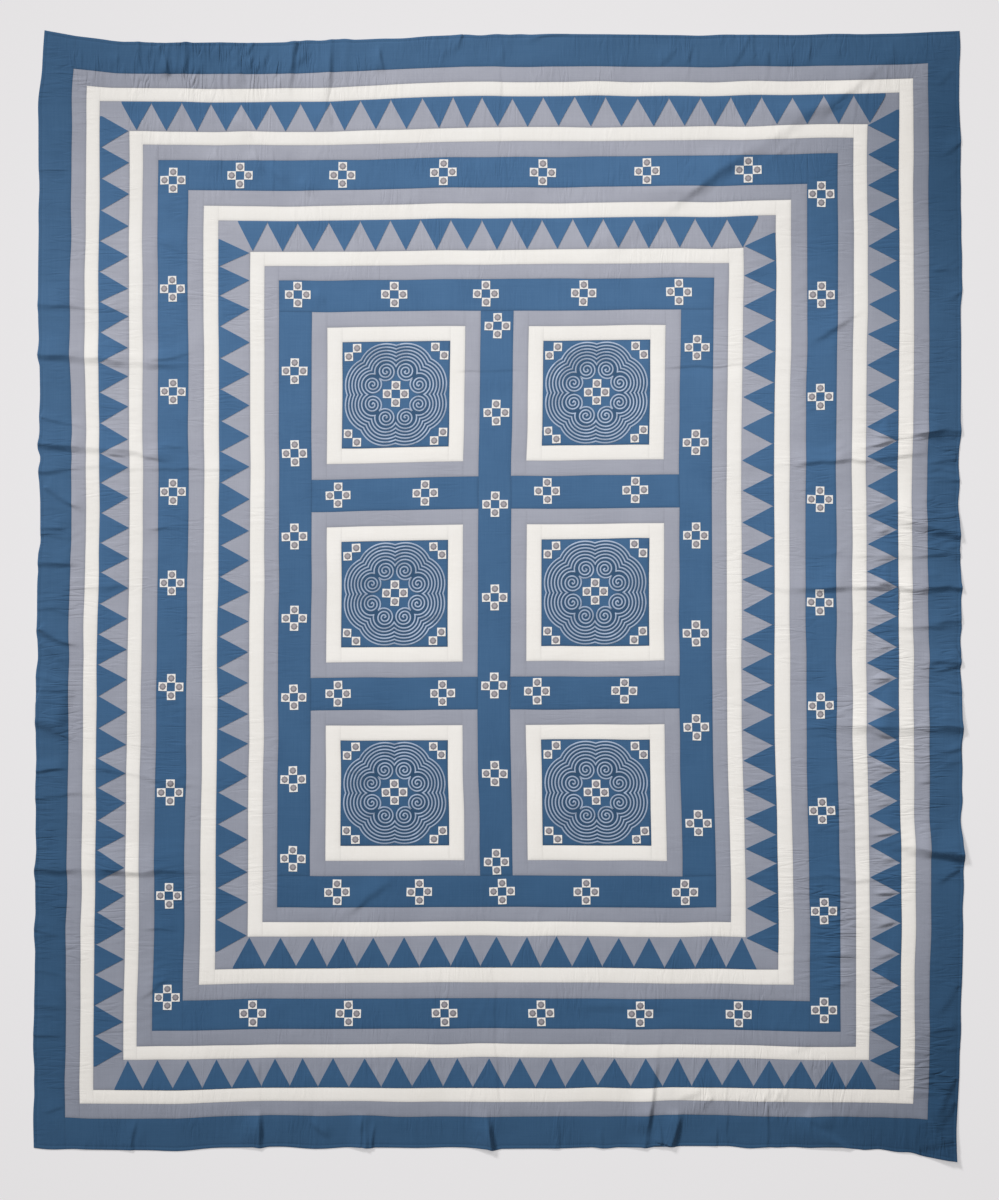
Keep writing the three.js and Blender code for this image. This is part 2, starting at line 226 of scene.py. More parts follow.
creases = [  # from s, from t, to s, to t, rise (a trough below 0), width of the steep side
    # top border
    (-944, 1355, -941, 1308, 1.6, 8),
    (-829, 1372, -816, 1290, 3, 8),
    (-812, 1350, -810, 1296, 2, 7),
    (-727, 1346, -731, 1296, 1.5, 8),
    (-650, 1336, -628, 1302, 2.6, 6),
    (-630, 1360, -636, 1306, 3, 7),
    (-636, 1320, -616, 1280, 3, 7),
    (-606, 1362, -603, 1296, 3, 7),
    (-570, 1364, -576, 1300, 3, 7),
    (-543, 1324, -546, 1280, 2.4, 7),
    (-492, 1376, -520, 1276, 3, 8),
    (-456, 1350, -504, 1316, 2.4, 8),
    (-295, 1364, -281, 1286, 2.8, 8),
    (-145, 1328, -100, 1342, 1.5, 6),
    (-86, 1378, -104, 1336, 2.6, 6),
    (17, 1358, 16, 1306, 2, 6),
    (50, 1360, 180, 1376, 1.6, 6),
    (398, 1294, 462, 1364, 1.7, 8),
    (458, 1292, 496, 1362, 1.5, 8),
    (582, 1296, 630, 1372, 2, 9),
    (640, 1380, 634, 1290, 1.8, 8),
    (667, 1358, 669, 1298, 1.4, 8),
    (728, 1356, 722, 1300, 1.5, 9),
    (776, 1360, 771, 1294, 1.6, 9),
    (836, 1304, 852, 1356, 1.5, 9),
    (972, 1360, 985, 1296, 2, 9),
    # upper left
    (-890, 578, -735, 600, 2.5, 8),
    (-905, 352, -800, 326, 2.5, 8),
    (-840, 366, -760, 366, 1.8, 7),
    (-1010, 313, -610, 306, 2, 8),
    (-890, 162, -760, 162, 1.8, 8),
    (-424, 1230, -400, 1140, 1.8, 8),
    (-892, 1200, -846, 1122, 1.5, 8),
    (-790, 1210, -774, 1140, 1.2, 8),
    (-650, 1205, -600, 1128, 1.6, 8),
    (-612, 1112, -566, 1046, 1.6, 8),
    (-706, 1116, -674, 1062, 1.3, 8),
    (-572, 1072, -522, 1012, 1.4, 9),
    (-496, 1036, -458, 984, 1.2, 9),
    (-872, 1198, -741, 1038, 1.6, 12),
    (-552, 805, -445, 756, 1.4, 10),
    (-449, 758, -420, 718, 1.8, 9),
    (-845, 888, -769, 838, 1.8, 9),
    (-553, 1120, -553, 985, 1.4, 4),
    (9, 1325, 5, 1018, -1.5, 6),
    # left border
    (-1145, 1053, -1060, 1050, 1.3, 7),
    (-1135, 437, -1000, 405, 1.8, 6),
    (-978, 350, -910, 336, 2.5, 5),
    (-1130, 264, -1020, 198, 2.8, 9),
    (-1150, 162, -1065, 162, 1.8, 8),
    (-1145, 146, -1060, 141, 1.8, 8),
    (-1145, -40, -1075, -33, 1.8, 8),
    (-1138, -88, -1026, -139, 2.6, 5),
    (-1136, -120, -1056, -174, 3, 8),
    (-1146, -205, -1100, -209, 2, 7),
    (-1146, -226, -1058, -222, 1.7, 7),
    (-1146, -240, -1058, -234, 1.7, 7),
    (-1152, -322, -1062, -340, 6, 34),
    (-1146, -447, -1056, -431, 3.2, 8),
    (-1114, -444, -1056, -480, 1.6, 8),
    (-1170, -822, -1070, -852, 2.2, 8),
    (-890, -825, -770, -832, 1.8, 8),
    (-1146, -937, -1058, -941, 1.5, 9),
    (-1146, -1022, -1054, -1022, 2, 12),
    (-1146, -1090, -1058, -1092, 1.5, 9),
    (-1118, -1294, -1056, -1270, 2, 8),
    # right side
    (970, 1315, 770, 1140, 3.4, 13),
    (715, 1150, 400, 920, 1.9, 15),
    (655, 1056, 765, 1122, 2.2, 12),
    (1088, 1234, 1126, 1280, 2.2, 8),
    (1090, 1056, 1165, 1110, 2.2, 9),
    (1062, 786, 1112, 786, 1.8, 6),
    (1106, 712, 1148, 742, 1.7, 8),
    (760, 592, 920, 698, 2.6, 11),
    (880, 350, 1012, 378, 5, 5),
    (985, 372, 1118, 397, 4.6, 7),
    (1058, 308, 1136, 314, 1.9, 7),
    (1058, 291, 1108, 293, 1.7, 7),
    (1060, 263, 1150, 263, 2, 8),
    (940, 198, 1060, 186, 2.6, 9),
    (1062, 148, 1150, 124, 4.4, 16),
    (1056, -82, 1146, -76, 3, 12),
    (1030, -190, 1138, -158, 3.4, 12),
    (1062, -205, 1146, -180, 3, 10),
    (1056, -244, 1142, -248, 1.6, 9),
    (915, -301, 1000, -301, 2.2, 8),
    (1060, -341, 1150, -355, 6, 30),
    (1030, -470, 1064, -466, 3, 6),
    (1062, -390, 1138, -392, 2, 9),
    (1068, -422, 1140, -422, 2, 9),
    (1056, -638, 1150, -666, 4, 16),
    (1072, -722, 1126, -684, 2.6, 9),
    (1135, -960, 1082, -1052, 2.4, 9),
    (1046, -1077, 1126, -1069, 2, 8),
    (1130, -1190, 1085, -1310, 3.5, 12),
    (1136, -1245, 1084, -1334, 2.8, 11),
    (1040, -1240, 1130, -1380, 2.6, 11),
    (1044, -1368, 1136, -1336, -2.5, 14),
    # field and lower strips
    (-114, 550, 78, 551, -1.3, 6),
    (395, 550, 690, 562, -1.4, 6),
    (-14, -870, 8, -1300, -1.5, 6),
    (-396, -823, -232, -697, 2, 11),
    (-890, -1023, -781, -933, 2.2, 10),
    (172, -1026, 490, -1034, 1.4, 8),
    (440, -1268, 515, -1240, 2.6, 8),
    (505, -1284, 540, -1250, 2.2, 7),
    (665, -1236, 722, -1258, 1.8, 6),
    (682, -1150, 806, -1112, 1.6, 9),
    # bottom border
    (-877, -1296, -887, -1386, 2.4, 8),
    (-576, -1130, -576, -1300, 1.6, 7),
    (-466, -1308, -404, -1360, 3, 9),
    (-320, -1290, -325, -1392, 2.6, 7),
    (-291, -1306, -297, -1392, 2.6, 7),
    (-16, -1306, -2, -1396, 2.4, 7),
    (155, -1294, 158, -1386, 1.5, 8),
    (264, -1320, 262, -1400, 1.6, 9),
    (399, -1298, 401, -1380, 1.9, 7),
    (459, -1290, 429, -1384, 3.4, 12),
    (541, -1324, 537, -1386, 1.5, 7),
    (567, -1130, 567, -1390, 1.2, 6),
    (667, -1130, 667, -1390, 1, 6),
    (742, -1298, 828, -1350, 3.8, 11),
]
teethRows = [  # ring, side, stretches of teeth: first centre, last centre, count
    ("teeth_1", "top", [(-896, -594, 5), (-523, -226, 5), (-146, 73, 4), (151, 310, 3), (387, 617, 4),
                        (690, 916, 4)]),
    ("teeth_1", "bottom", [(-899, -681, 4), (-606, -471, 3), (-397, -166, 4), (-97, 210, 5), (290, 443, 3),
                           (515, 893, 6)]),
    ("teeth_1", "left", [(-1131, -977, 3), (-903, -441, 7), (-370, -293, 2), (-212, 93, 5), (166, 465, 5),
                         (541, 763, 4), (838, 1151, 5)]),
    ("teeth_1", "right", [(-1152, -474, 10), (-401, -175, 4), (-95, 186, 5), (258, 1149, 13)]),
    ("teeth_2", "top", [(-604, -151, 7), (-79, 146, 4), (225, 608, 6)]),
    ("teeth_2", "bottom", [(-606, -375, 4), (-302, 74, 6), (147, 600, 7)]),
    ("teeth_2", "left", [(-844, -450, 6), (-372, -65, 5), (8, 238, 4), (318, 780, 7), (848, 848, 1)]),
    ("teeth_2", "right", [(-849, -415, 7), (-340, 32, 6), (93, 324, 4), (401, 783, 6), (852, 852, 1)]),
]
gathers = {  # creases that fan out from the tips of the grey ground between the teeth
    "ring": "teeth_1", "side": "right", "from": -1080, "to": 440, "seed": 5,
    "count": 3, "rise": (0.9, 2), "steep": (3.5, 6), "start": (3, 12), "stop": (60, 78), "spread": 26,
    "pinch": 0.1,
}


def toothCentres(runs):
    return np.concatenate([np.linspace(*run) for run in runs])


def gatherCreases():
    draws = np.random.default_rng(gathers["seed"])
    depth = insets[ringNumbers[gathers["ring"]]]
    runs = next(row[2] for row in teethRows if row[:2] == (gathers["ring"], gathers["side"]))
    centres = toothCentres(runs)
    made = []
    for tip in (centres[1:] + centres[:-1]) / 2:
        if gathers["from"] < tip < gathers["to"]:
            for _ in range(gathers["count"]):
                start = depth + draws.uniform(*gathers["start"])
                stop = depth + draws.uniform(*gathers["stop"])
                aside = draws.uniform(-1, 1) * gathers["spread"]
                line = (halfWidth - start, tip + aside * gathers["pinch"], halfWidth - stop, tip + aside)
                made.append((*line, draws.uniform(*gathers["rise"]), draws.uniform(*gathers["steep"])))
    return made


creases += gatherCreases()
creaseShape = {"rise": 1.3, "wide": 1.15, "withLight": 0.35, "end": 75, "endShare": 0.4,
               "hem": 14, "hemEnd": 1, "stride": 2.9}

puckers = {
    "pitch": 24,
    "run": 46,  # half the length of a ripple
    "crest": 0.34,
    "sway": 1.5,
    "swayPitch": 120,
    "rise": 1.6,
    "base": 0.5,
    "field": 0.2,
    "fieldEdge": (-10, 10),
    "turn": 50,  # over this distance the ripples turn at a corner
    "stride": 0.71,
}
puckerPatches = [  # s, t, reach in s, reach in t, rise
    (825, -790, 80, 260, 0.9),
    (990, -350, 170, 480, 0.7),
    (1085, 150, 90, 330, 0.8),
    (-700, 1325, 330, 75, 1.8),
    (700, 1325, 350, 85, 0.4),
    (-790, 1282, 190, 32, 1.8),
    (1090, -1230, 70, 130, 1.8),
    (-1085, -150, 60, 500, 0.4),
    (-1080, -700, 80, 260, 0.5),
    (560, -1275, 130, 40, 1.4),
    (800, -1200, 200, 90, 0.7),
]
billow = {"rise": 1.3, "pitch": 150, "fineRise": 0.8, "finePitch": 52,
          "inField": 0.35, "fieldEdge": (-10, 30)}
wobble = {"pitch": 95, "reach": 1.3, "hemReach": 1.8, "hemDepth": 110}  # uneven seams and hem

noiseCells = 64
noiseTable = np.random.default_rng(7).uniform(-1, 1, (noiseCells, noiseCells))
noiseTable = np.pad(noiseTable, (0, 1), "wrap")
noisePlaces = {  # where each use of the noise begins
    "wobbleX": (3.1, 17.7),
    "wobbleY": (31.4, 5.9),
    "bendS": (11.3, 2.9),
    "bendT": (44.1, 27.2),
    "fineBendS": (5.7, 51.3),
    "fineBendT": (23.8, 8.6),
    "sway": (9.3, 4.1),
    "billow": (0, 13.5),
    "fineBillow": (7.7, 3.3),
}
ripplePlaces = {"strength": 3.2, "upright": 21.7, "level": 40.2}


def smooth(low, high, value):
    share = np.clip((value - low) / (high - low), 0, 1)
    return share * share * (3 - 2 * share)


# Value in a cell of a table, blended from its four corners
def inCell(table, row, column, across, up):
    low = table[row, column] * (1 - across) + table[row, column + 1] * across
    high = table[row + 1, column] * (1 - across) + table[row + 1, column + 1] * across
    return low * (1 - up) + high * up


def clothNoise(u, v):
    column = np.floor(u).astype(int)
    row = np.floor(v).astype(int)
    across = smooth(0, 1, u - column)
    up = smooth(0, 1, v - row)
    return inCell(noiseTable, row % noiseCells, column % noiseCells, across, up)


def noiseOver(s, t, pitch, use):
    shiftS, shiftT = noisePlaces[use]
    return clothNoise(s / pitch + shiftS, t / pitch + shiftT)


def cellOf(marks, value):
    cell = np.clip(np.searchsorted(marks, value) - 1, 0, len(marks) - 2)
    return cell, smooth(marks[cell], marks[cell + 1], value)


def strayAt(table, s, t):
    column, across = cellOf(places, s)
    row, up = cellOf(levels, t)
    return inCell(table, row, column, across, up)


def hemDistance(s, t):
    return np.minimum(halfWidth - np.abs(s), halfLength - np.abs(t))


def fieldDepth(s, t):
    return np.minimum(fieldEdge - np.abs(s), fieldEnd - np.abs(t))


def cornerNear(s, t, reach):
    return np.maximum(0, 1 - np.hypot(s, t) / reach) ** cornerFall


# Place in x and y of a point of the flat top once it is laid out
def layFlat(s, t):
    x = s + strayAt(strayX, s, t) + centring[0]
    y = t + strayAt(strayY, s, t) + centring[1]
    edge = hemDistance(s, t)
    for atS, atT, pullX, pullY, _, reach, depth in corners:
        near = cornerNear(s - atS, t - atT, reach)
        if depth:
            near = near * (1 - smooth(0, depth, edge))
        x = x + near * pullX
        y = y + near * pullY
    sway = wobble["reach"] + wobble["hemReach"] * np.exp(-edge / wobble["hemDepth"])
    pushX, pushY = hemPush(s, t)
    x = x + pushX + sway * noiseOver(s, t, wobble["pitch"], "wobbleX")
    y = y + pushY + sway * noiseOver(s, t, wobble["pitch"], "wobbleY")
    return x, y


# Distance inwards from a side of the top, and the place along it
def fromSide(side, s, t):
    if side == "left":
        return s + halfWidth, t
    if side == "right":
        return halfWidth - s, t
    if side == "top":
        return halfLength - t, s
    return t + halfLength, s


# The point of the flat top that lies so far inwards from a side, at a place along it
def sidePoint(side, inward, along):
    if side == "left":
        return inward - halfWidth, along
    if side == "right":
        return halfWidth - inward, along
    if side == "top":
        return along, halfLength - inward
    return along, inward - halfLength


# Section of a fold: offset is the distance towards the window from the middle of its steep side
def ridge(offset, steep):
    rest = offset - steep * crest
    share = np.clip(np.where(rest > 0, rest / (steep * gentle), -rest / steep), 0, 1)
    return (np.cos(share * math.pi / 2) ** 2 + (1 - share) ** 2) / 2


# Folds and creases rise and sink a little along their length
def unevenAlong(along, number, stride):
    place = along / foldShape["pitch"] + stride * number
    return 1 + foldShape["uneven"] * clothNoise(place, np.full_like(along, number))


# White strips lie a little stiffer than the others
def stiffness(s, t):
    depth = hemDistance(s, t)
    calm = np.zeros_like(depth)
    for index, (_, look, _) in enumerate(rings):
        if look == "white":
            begin = smooth(insets[index] - whiteCalm["edge"], insets[index], depth)
            end = smooth(insets[index + 1], insets[index + 1] + whiteCalm["edge"], depth)
            calm = np.maximum(calm, begin * (1 - end))
    return 1 - whiteCalm["share"] * calm


def foldHeight(s, t):
    height = np.zeros_like(s)
    for number, (side, at, lean, start, reach, rise, width) in enumerate(folds):
        inward, along = fromSide(side, s, t)
        if inward.min() > reach:
            continue
        towards = 1 if side in uprightSides else -1
        offset = (along - at - lean * inward) / math.hypot(1, lean)
        ending = 1 - smooth(reach * foldShape["fade"], reach, inward)
        begin = smooth(start, start + foldShape["begin"], inward) if start else 1
        section = ridge(towards * offset, width * foldShape["steep"])
        uneven = unevenAlong(inward, number, foldShape["stride"])
        height += rise * foldShape["rise"] * uneven * section * ending * begin
    return height


outward = {"left": (-1, 0), "right": (1, 0), "top": (0, 1), "bottom": (0, -1)}


def hemPush(s, t):
    x = np.zeros_like(s)
    y = np.zeros_like(s)
    for side, at, reach, width, depth in hemPushes:
        inward, along = fromSide(side, s, t)
        bulge = np.cos(np.clip((along - at) / width, -1, 1) * math.pi / 2) ** 2
        push = reach * bulge * np.exp(-inward / depth)
        x += push * outward[side][0]
        y += push * outward[side][1]
    return x, y


def creaseHeight(s, t):
    height = np.zeros_like(s)
    left, right, low, high = s.min(), s.max(), t.min(), t.max()
    for number, (s0, t0, s1, t1, rise, steep) in enumerate(creases):
        steep = steep * creaseShape["wide"]
        reach = steep * gentle
        if max(s0, s1) < left - reach or min(s0, s1) > right + reach:
            continue
        if max(t0, t1) < low - reach or min(t0, t1) > high + reach:
            continue
        length = math.hypot(s1 - s0, t1 - t0)
        runS = (s1 - s0) / length
        runT = (t1 - t0) / length
        along = (s - s0) * runS + (t - t0) * runT
        aside = (t - t0) * runS - (s - s0) * runT
        facing = runS * window[1] - runT * window[0]
        towards = np.sign(facing * rise)
        rise *= creaseShape["rise"] * (1 + creaseShape["withLight"] * (1 - abs(facing)) ** 2)
        end = min(creaseShape["end"], creaseShape["endShare"] * length)
        atHem = [hemDistance(*place) <= creaseShape["hem"] for place in ((s0, t0), (s1, t1))]
        ends = [creaseShape["hemEnd"] if onHem else end for onHem in atHem]
        ending = smooth(0, ends[0], along) * (1 - smooth(length - ends[1], length, along))
        uneven = unevenAlong(along, number, creaseShape["stride"])
        height += rise * uneven * ridge(towards * aside, steep) * ending
    return height


# How strongly the cloth is puckered, and how far its ripples follow each other along t
def puckerLayers(s, t):
    inField = smooth(*puckers["fieldEdge"], fieldDepth(s, t))
    rise = puckers["base"] + (puckers["field"] - puckers["base"]) * inField
    for atS, atT, reachS, reachT, more in puckerPatches:
        rise = rise + more * np.exp(-((s - atS) / reachS) ** 2 - ((t - atT) / reachT) ** 2)
    nearer = (halfLength - np.abs(t)) - (halfWidth - np.abs(s))
    return {"pucker": rise, "turned": smooth(-puckers["turn"], puckers["turn"], nearer)}


def ripple(place, run):
    number = np.floor(place)
    share = place - number
    peak = puckers["crest"]
    strength = np.maximum(clothNoise(number * puckers["stride"] + ripplePlaces["strength"], run), 0)
    return strength * smooth(0, peak, share) * (1 - smooth(peak, 1, share))


# Small ripples that run across the strips
def puckerHeight(s, t):
    layers = puckerLayers(s, t)
    turned = layers["turned"]
    sway = puckers["sway"] * noiseOver(s, t, puckers["swayPitch"], "sway")
    upright = ripple(t / puckers["pitch"] + sway, s / puckers["run"] + ripplePlaces["upright"])
    level = ripple(sway - s / puckers["pitch"], t / puckers["run"] + ripplePlaces["level"])
    return puckers["rise"] * layers["pucker"] * (upright * turned + level * (1 - turned))


def bent(s, t):
    bentS = s + bend["reach"] * noiseOver(s, t, bend["pitch"], "bendS")
    bentT = t + bend["reach"] * noiseOver(s, t, bend["pitch"], "bendT")
    bentS += bend["fineReach"] * noiseOver(s, t, bend["finePitch"], "fineBendS")
    bentT += bend["fineReach"] * noiseOver(s, t, bend["finePitch"], "fineBendT")
    return bentS, bentT


# Height of the cloth's underside over the floor, never below it
def underside(s, t):
    slack = smooth(*top["slackReach"], hemDistance(s, t))
    way = bent(s, t)
    calm = 1 - (1 - billow["inField"]) * smooth(*billow["fieldEdge"], fieldDepth(s, t))
    folded = foldHeight(*way) + creaseHeight(*way) + puckerHeight(*way)
    folded += billow["fineRise"] * calm * noiseOver(s, t, billow["finePitch"], "fineBillow")
    height = top["slack"] * slack + folded * stiffness(s, t)
    height += billow["rise"] * slack * noiseOver(s, t, billow["pitch"], "billow")
    for atS, atT, _, _, lift, reach, _ in corners:
        height += cornerNear(s - atS, t - atT, reach) ** 2 * lift
    return (height + np.sqrt(height * height + top["floorEase"])) / 2


def crownAt(edge):
    return top["crown"] * (1 - np.exp(-edge / top["crownReach"]))


def laidPoints(s, t, z):
    x, y = layFlat(s, t)
    return np.stack([x, y, z], axis=-1).reshape(-1, 3) * mm


# Materials

def linear(red, green, blue):
    channels = [value / 255 for value in (red, green, blue)]
    made = [c / 12.92 if c <= 0.04045 else ((c + 0.055) / 1.055) ** 2.4 for c in channels]
    return (*made, 1)


colourSockets = ("Colour", "Deep", "Foot Tint")


def newGroup(name, inputs, outputs):
    group = bpy.data.node_groups.new(name, "ShaderNodeTree")
    for way, labels in (("INPUT", inputs), ("OUTPUT", outputs)):
        for label in labels:
            kind = "NodeSocketColor" if label in colourSockets else "NodeSocketFloat"
            group.interface.new_socket(label, in_out=way, socket_type=kind)
    begin = group.nodes.new("NodeGroupInput")
    end = group.nodes.new("NodeGroupOutput")
    return group, begin.outputs, end.inputs


def feed(tree, socket, value):
    if isinstance(value, bpy.types.NodeSocket):
        tree.links.new(value, socket)
    else:
        socket.default_value = value


def mathNode(tree, operation, first, second=0.0, third=0.0):
    node = tree.nodes.new("ShaderNodeMath")
    node.operation = operation
    for socket, value in zip(node.inputs, (first, second, third)):
        feed(tree, socket, value)
    return node.outputs[0]


def blendColour(tree, kind, share, first, second):
    node = tree.nodes.new("ShaderNodeMix")
    node.data_type = "RGBA"
    node.blend_type = kind
    feed(tree, node.inputs["Factor"], share)
    feed(tree, node.inputs["A"], first)
    feed(tree, node.inputs["B"], second)
    return node.outputs["Result"]


def objectPlace(tree, scale=(1, 1, 1)):
    place = tree.nodes.new("ShaderNodeTexCoord").outputs["Object"]
    mapping = tree.nodes.new("ShaderNodeMapping")
    mapping.inputs["Scale"].default_value = scale
    tree.links.new(place, mapping.inputs["Vector"])
    return mapping.outputs["Vector"]


def noiseNode(tree, place, scale, detail, distortion=0.0):
    node = tree.nodes.new("ShaderNodeTexNoise")
    tree.links.new(place, node.inputs["Vector"])
    feed(tree, node.inputs["Scale"], scale)
    node.inputs["Detail"].default_value = detail
    node.inputs["Distortion"].default_value = distortion
    return node.outputs["Fac"]


def mapNode(tree, value, low, high, newLow, newHigh, kind="SMOOTHSTEP"):
    node = tree.nodes.new("ShaderNodeMapRange")
    node.interpolation_type = kind
    for label, number in (("Value", value), ("From Min", low), ("From Max", high),
                          ("To Min", newLow), ("To Max", newHigh)):
        feed(tree, node.inputs[label], number)
    return node.outputs["Result"]


def attributeNode(tree, name):
    node = tree.nodes.new("ShaderNodeAttribute")
    node.attribute_name = name
    return node.outputs["Fac"]


weave = {
    "threadScale": 420, "warp": 0.6, "yarns": ((9, 420, 1), (420, 9, 1)), "yarnRange": (0.3, 0.7),
    "bumpDistance": 0.0004, "specular": 0.2,
}


# Plain weave: crossing threads, with uneven thick and thin yarns along both ways
def makeWeaveGroup():
    group, begin, end = newGroup("plainWeave", ["Thread Scale", "Slub"], ["Height", "Streak"])
    threads = []
    for direction in ("X", "Y"):
        wave = group.nodes.new("ShaderNodeTexWave")
        wave.bands_direction = direction
        group.links.new(objectPlace(group), wave.inputs["Vector"])
        group.links.new(begin["Thread Scale"], wave.inputs["Scale"])
        wave.inputs["Distortion"].default_value = weave["warp"]
        threads.append(mathNode(group, "SUBTRACT", wave.outputs["Fac"], 0.5))
    crossing = mathNode(group, "MULTIPLY", threads[0], threads[1])
    yarns = [noiseNode(group, objectPlace(group, scale), 1.0, 1) for scale in weave["yarns"]]
    streak = mathNode(group, "MULTIPLY", mathNode(group, "ADD", yarns[0], yarns[1]), 0.5)
    uneven = mathNode(group, "MULTIPLY", streak, begin["Slub"])
    group.links.new(mathNode(group, "ADD", crossing, uneven), end["Height"])
    group.links.new(streak, end["Streak"])
    return group


dye = {"patchDetail": 4, "patches": (0.35, 0.68), "streaks": (0.38, 0.62),
       "patchShare": 0.6, "streakShare": 0.4}


# Uneven dye: broad cloudy patches and fine streaks
def makeDyeGroup():
    inputs = ["Colour", "Deep", "Patch Scale", "Amount", "Streak"]
    group, begin, end = newGroup("unevenDye", inputs, ["Colour"])
    cloud = noiseNode(group, objectPlace(group), begin["Patch Scale"], dye["patchDetail"])
    patches = mapNode(group, cloud, *dye["patches"], 0.0, 1.0)
    streaks = mapNode(group, begin["Streak"], *dye["streaks"], 0.0, 1.0)
    cloudy = mathNode(group, "MULTIPLY", patches, dye["patchShare"])
    both = mathNode(group, "ADD", cloudy, mathNode(group, "MULTIPLY", streaks, dye["streakShare"]))
    share = mathNode(group, "MULTIPLY", both, begin["Amount"])
    group.links.new(blendColour(group, "MIX", share, begin["Colour"], begin["Deep"]), end["Colour"])
    return group


wrinkles = {
    "scales": ((62, 11, 1), (11, 62, 1)), "warp": 0.7, "sharpness": 6, "distance": 0.0012,
    "clusterScale": 9.0, "clusters": (0.42, 0.62), "least": 0.15,
}


# Fine creases across the strips: thin valleys, in clusters, where the cloth is puckered
def makeCreaseGroup():
    group, begin, end = newGroup("fineCreases", ["Sharpness"], ["Height"])
    valleys = []
    for scale in wrinkles["scales"]:
        cloud = noiseNode(group, objectPlace(group, scale), 1.0, 1, wrinkles["warp"])
        away = mathNode(group, "ABSOLUTE", mathNode(group, "SUBTRACT", cloud, 0.5))
        wall = mathNode(group, "MULTIPLY", away, begin["Sharpness"])
        valleys.append(mathNode(group, "MINIMUM", wall, 1.0))
    apart = mathNode(group, "SUBTRACT", valleys[1], valleys[0])
    valley = mathNode(group, "MULTIPLY_ADD", apart, attributeNode(group, "turned"), valleys[0])
    cloud = noiseNode(group, objectPlace(group), wrinkles["clusterScale"], 1)
    cluster = mapNode(group, cloud, *wrinkles["clusters"], wrinkles["least"], 1.0)
    amount = mathNode(group, "MULTIPLY", cluster, attributeNode(group, "pucker"))
    group.links.new(mathNode(group, "MULTIPLY", valley, amount), end["Height"])
    return group


paintedShadeTone = {
    "footStart": 0.65,
    "shadeSpots": [  # x, y, reach, share of the painted shade tint
        (1.15, 1.1, 0.88, 1.0),
        (1.15, 1.15, 0.5, 0.35),
        (-1.15, 1.4, 0.65, 0.65),
        (-0.72, 1.42, 0.36, 0.4),
        (0.35, 1.5, 0.5, 0.35),
        (1.2, -1.35, 0.65, 1.0),
        (1.3, 0.3, 0.65, 0.7),
    ],
}


# Painted shade: darker towards the foot end and in some spots, where less light falls on the cloth, and a
# soft painted shade line where pieces meet
def makePaintedShadeGroup():
    group, begin, end = newGroup("paintedShadeTone", ["Colour", "Foot Tint", "Foot End", "Seam Shade"], ["Colour"])
    parts = group.nodes.new("ShaderNodeSeparateXYZ")
    group.links.new(objectPlace(group), parts.inputs["Vector"])
    footShade = mapNode(group, parts.outputs["Y"], paintedShadeTone["footStart"], begin["Foot End"], 0.0, 1.0, "LINEAR")
    shaded = blendColour(group, "MULTIPLY", footShade, begin["Colour"], begin["Foot Tint"])
    for atX, atY, reach, share in paintedShadeTone["shadeSpots"]:
        across = mathNode(group, "SUBTRACT", parts.outputs["X"], atX)
        up = mathNode(group, "SUBTRACT", parts.outputs["Y"], atY)
        squares = mathNode(group, "MULTIPLY_ADD", across, across, mathNode(group, "MULTIPLY", up, up))
        near = mapNode(group, mathNode(group, "SQRT", squares), 0.0, reach, share, 0.0)
        shaded = blendColour(group, "MULTIPLY", near, shaded, begin["Foot Tint"])
    paintedSeamShade = mathNode(group, "MULTIPLY", attributeNode(group, "seam"), begin["Seam Shade"])
    group.links.new(blendColour(group, "MULTIPLY", paintedSeamShade, shaded, (0, 0, 0, 1)), end["Colour"])
    return group


weaveGroup = makeWeaveGroup()
creaseGroup = makeCreaseGroup()
dyeGroup = makeDyeGroup()
paintedShadeGroup = makePaintedShadeGroup()

# footShade is the tint of the painted shade towards the foot end and in the spots
cottons = {
    # seam is the strength of the painted shade along the seams
    "blue": {"colour": (77, 115, 155), "deep": (66, 102, 141), "amount": 0.55, "patch": 9,
             "footShade": (0.55, 0.645, 0.675), "footEnd": -0.75, "seam": 0.22,
             "rough": (0.82, 0.95), "slub": 0.5, "bump": 0.35, "crease": 1.0, "sheen": 0.06},
    "grey": {"colour": (174, 176, 188), "deep": (161, 163, 176), "amount": 0.6, "patch": 8,
             "footShade": (0.65, 0.675, 0.705), "footEnd": -1.3, "seam": 0.2,
             "rough": (0.8, 0.94), "slub": 0.5, "bump": 0.35, "crease": 0.9, "sheen": 0.05},
    "white": {"colour": (246, 243, 239), "deep": (239, 235, 229), "amount": 0.5, "patch": 7,
              "footShade": (0.95, 0.94, 0.93), "footEnd": -1.3, "seam": 0.2,
              "rough": (0.78, 0.92), "slub": 0.5, "bump": 0.3, "crease": 0.5, "sheen": 0.04},
}
cottons["border"] = {**cottons["blue"], "colour": (72, 108, 145), "deep": (62, 96, 132)}
# a panel takes stronger painted shade along its seams and on its ground between the lines
cottons["panel"] = {**cottons["blue"], "seam": 0.45}
cottons["line"] = {**cottons["grey"], "colour": (178, 192, 214), "deep": (166, 181, 204),
                   "seam": 0.0, "crease": 0.0}
cottons["thread"] = {**cottons["border"], "patch": 40, "seam": 0.0, "rough": (0.6, 0.8),
                     "bump": 0.1, "crease": 0.0}


def groupNode(tree, group, **values):
    node = tree.nodes.new("ShaderNodeGroup")
    node.node_tree = group
    for label, value in values.items():
        feed(tree, node.inputs[label.replace("_", " ")], value)
    return node.outputs


def bumpNode(tree, height, strength, distance, under=None):
    bump = tree.nodes.new("ShaderNodeBump")
    bump.inputs["Strength"].default_value = strength
    bump.inputs["Distance"].default_value = distance
    tree.links.new(height, bump.inputs["Height"])
    if under:
        tree.links.new(under, bump.inputs["Normal"])
    return bump.outputs["Normal"]


def newMaterial(name):
    material = bpy.data.materials.new(name)
    material.use_nodes = True
    return material, material.node_tree, material.node_tree.nodes["Principled BSDF"]


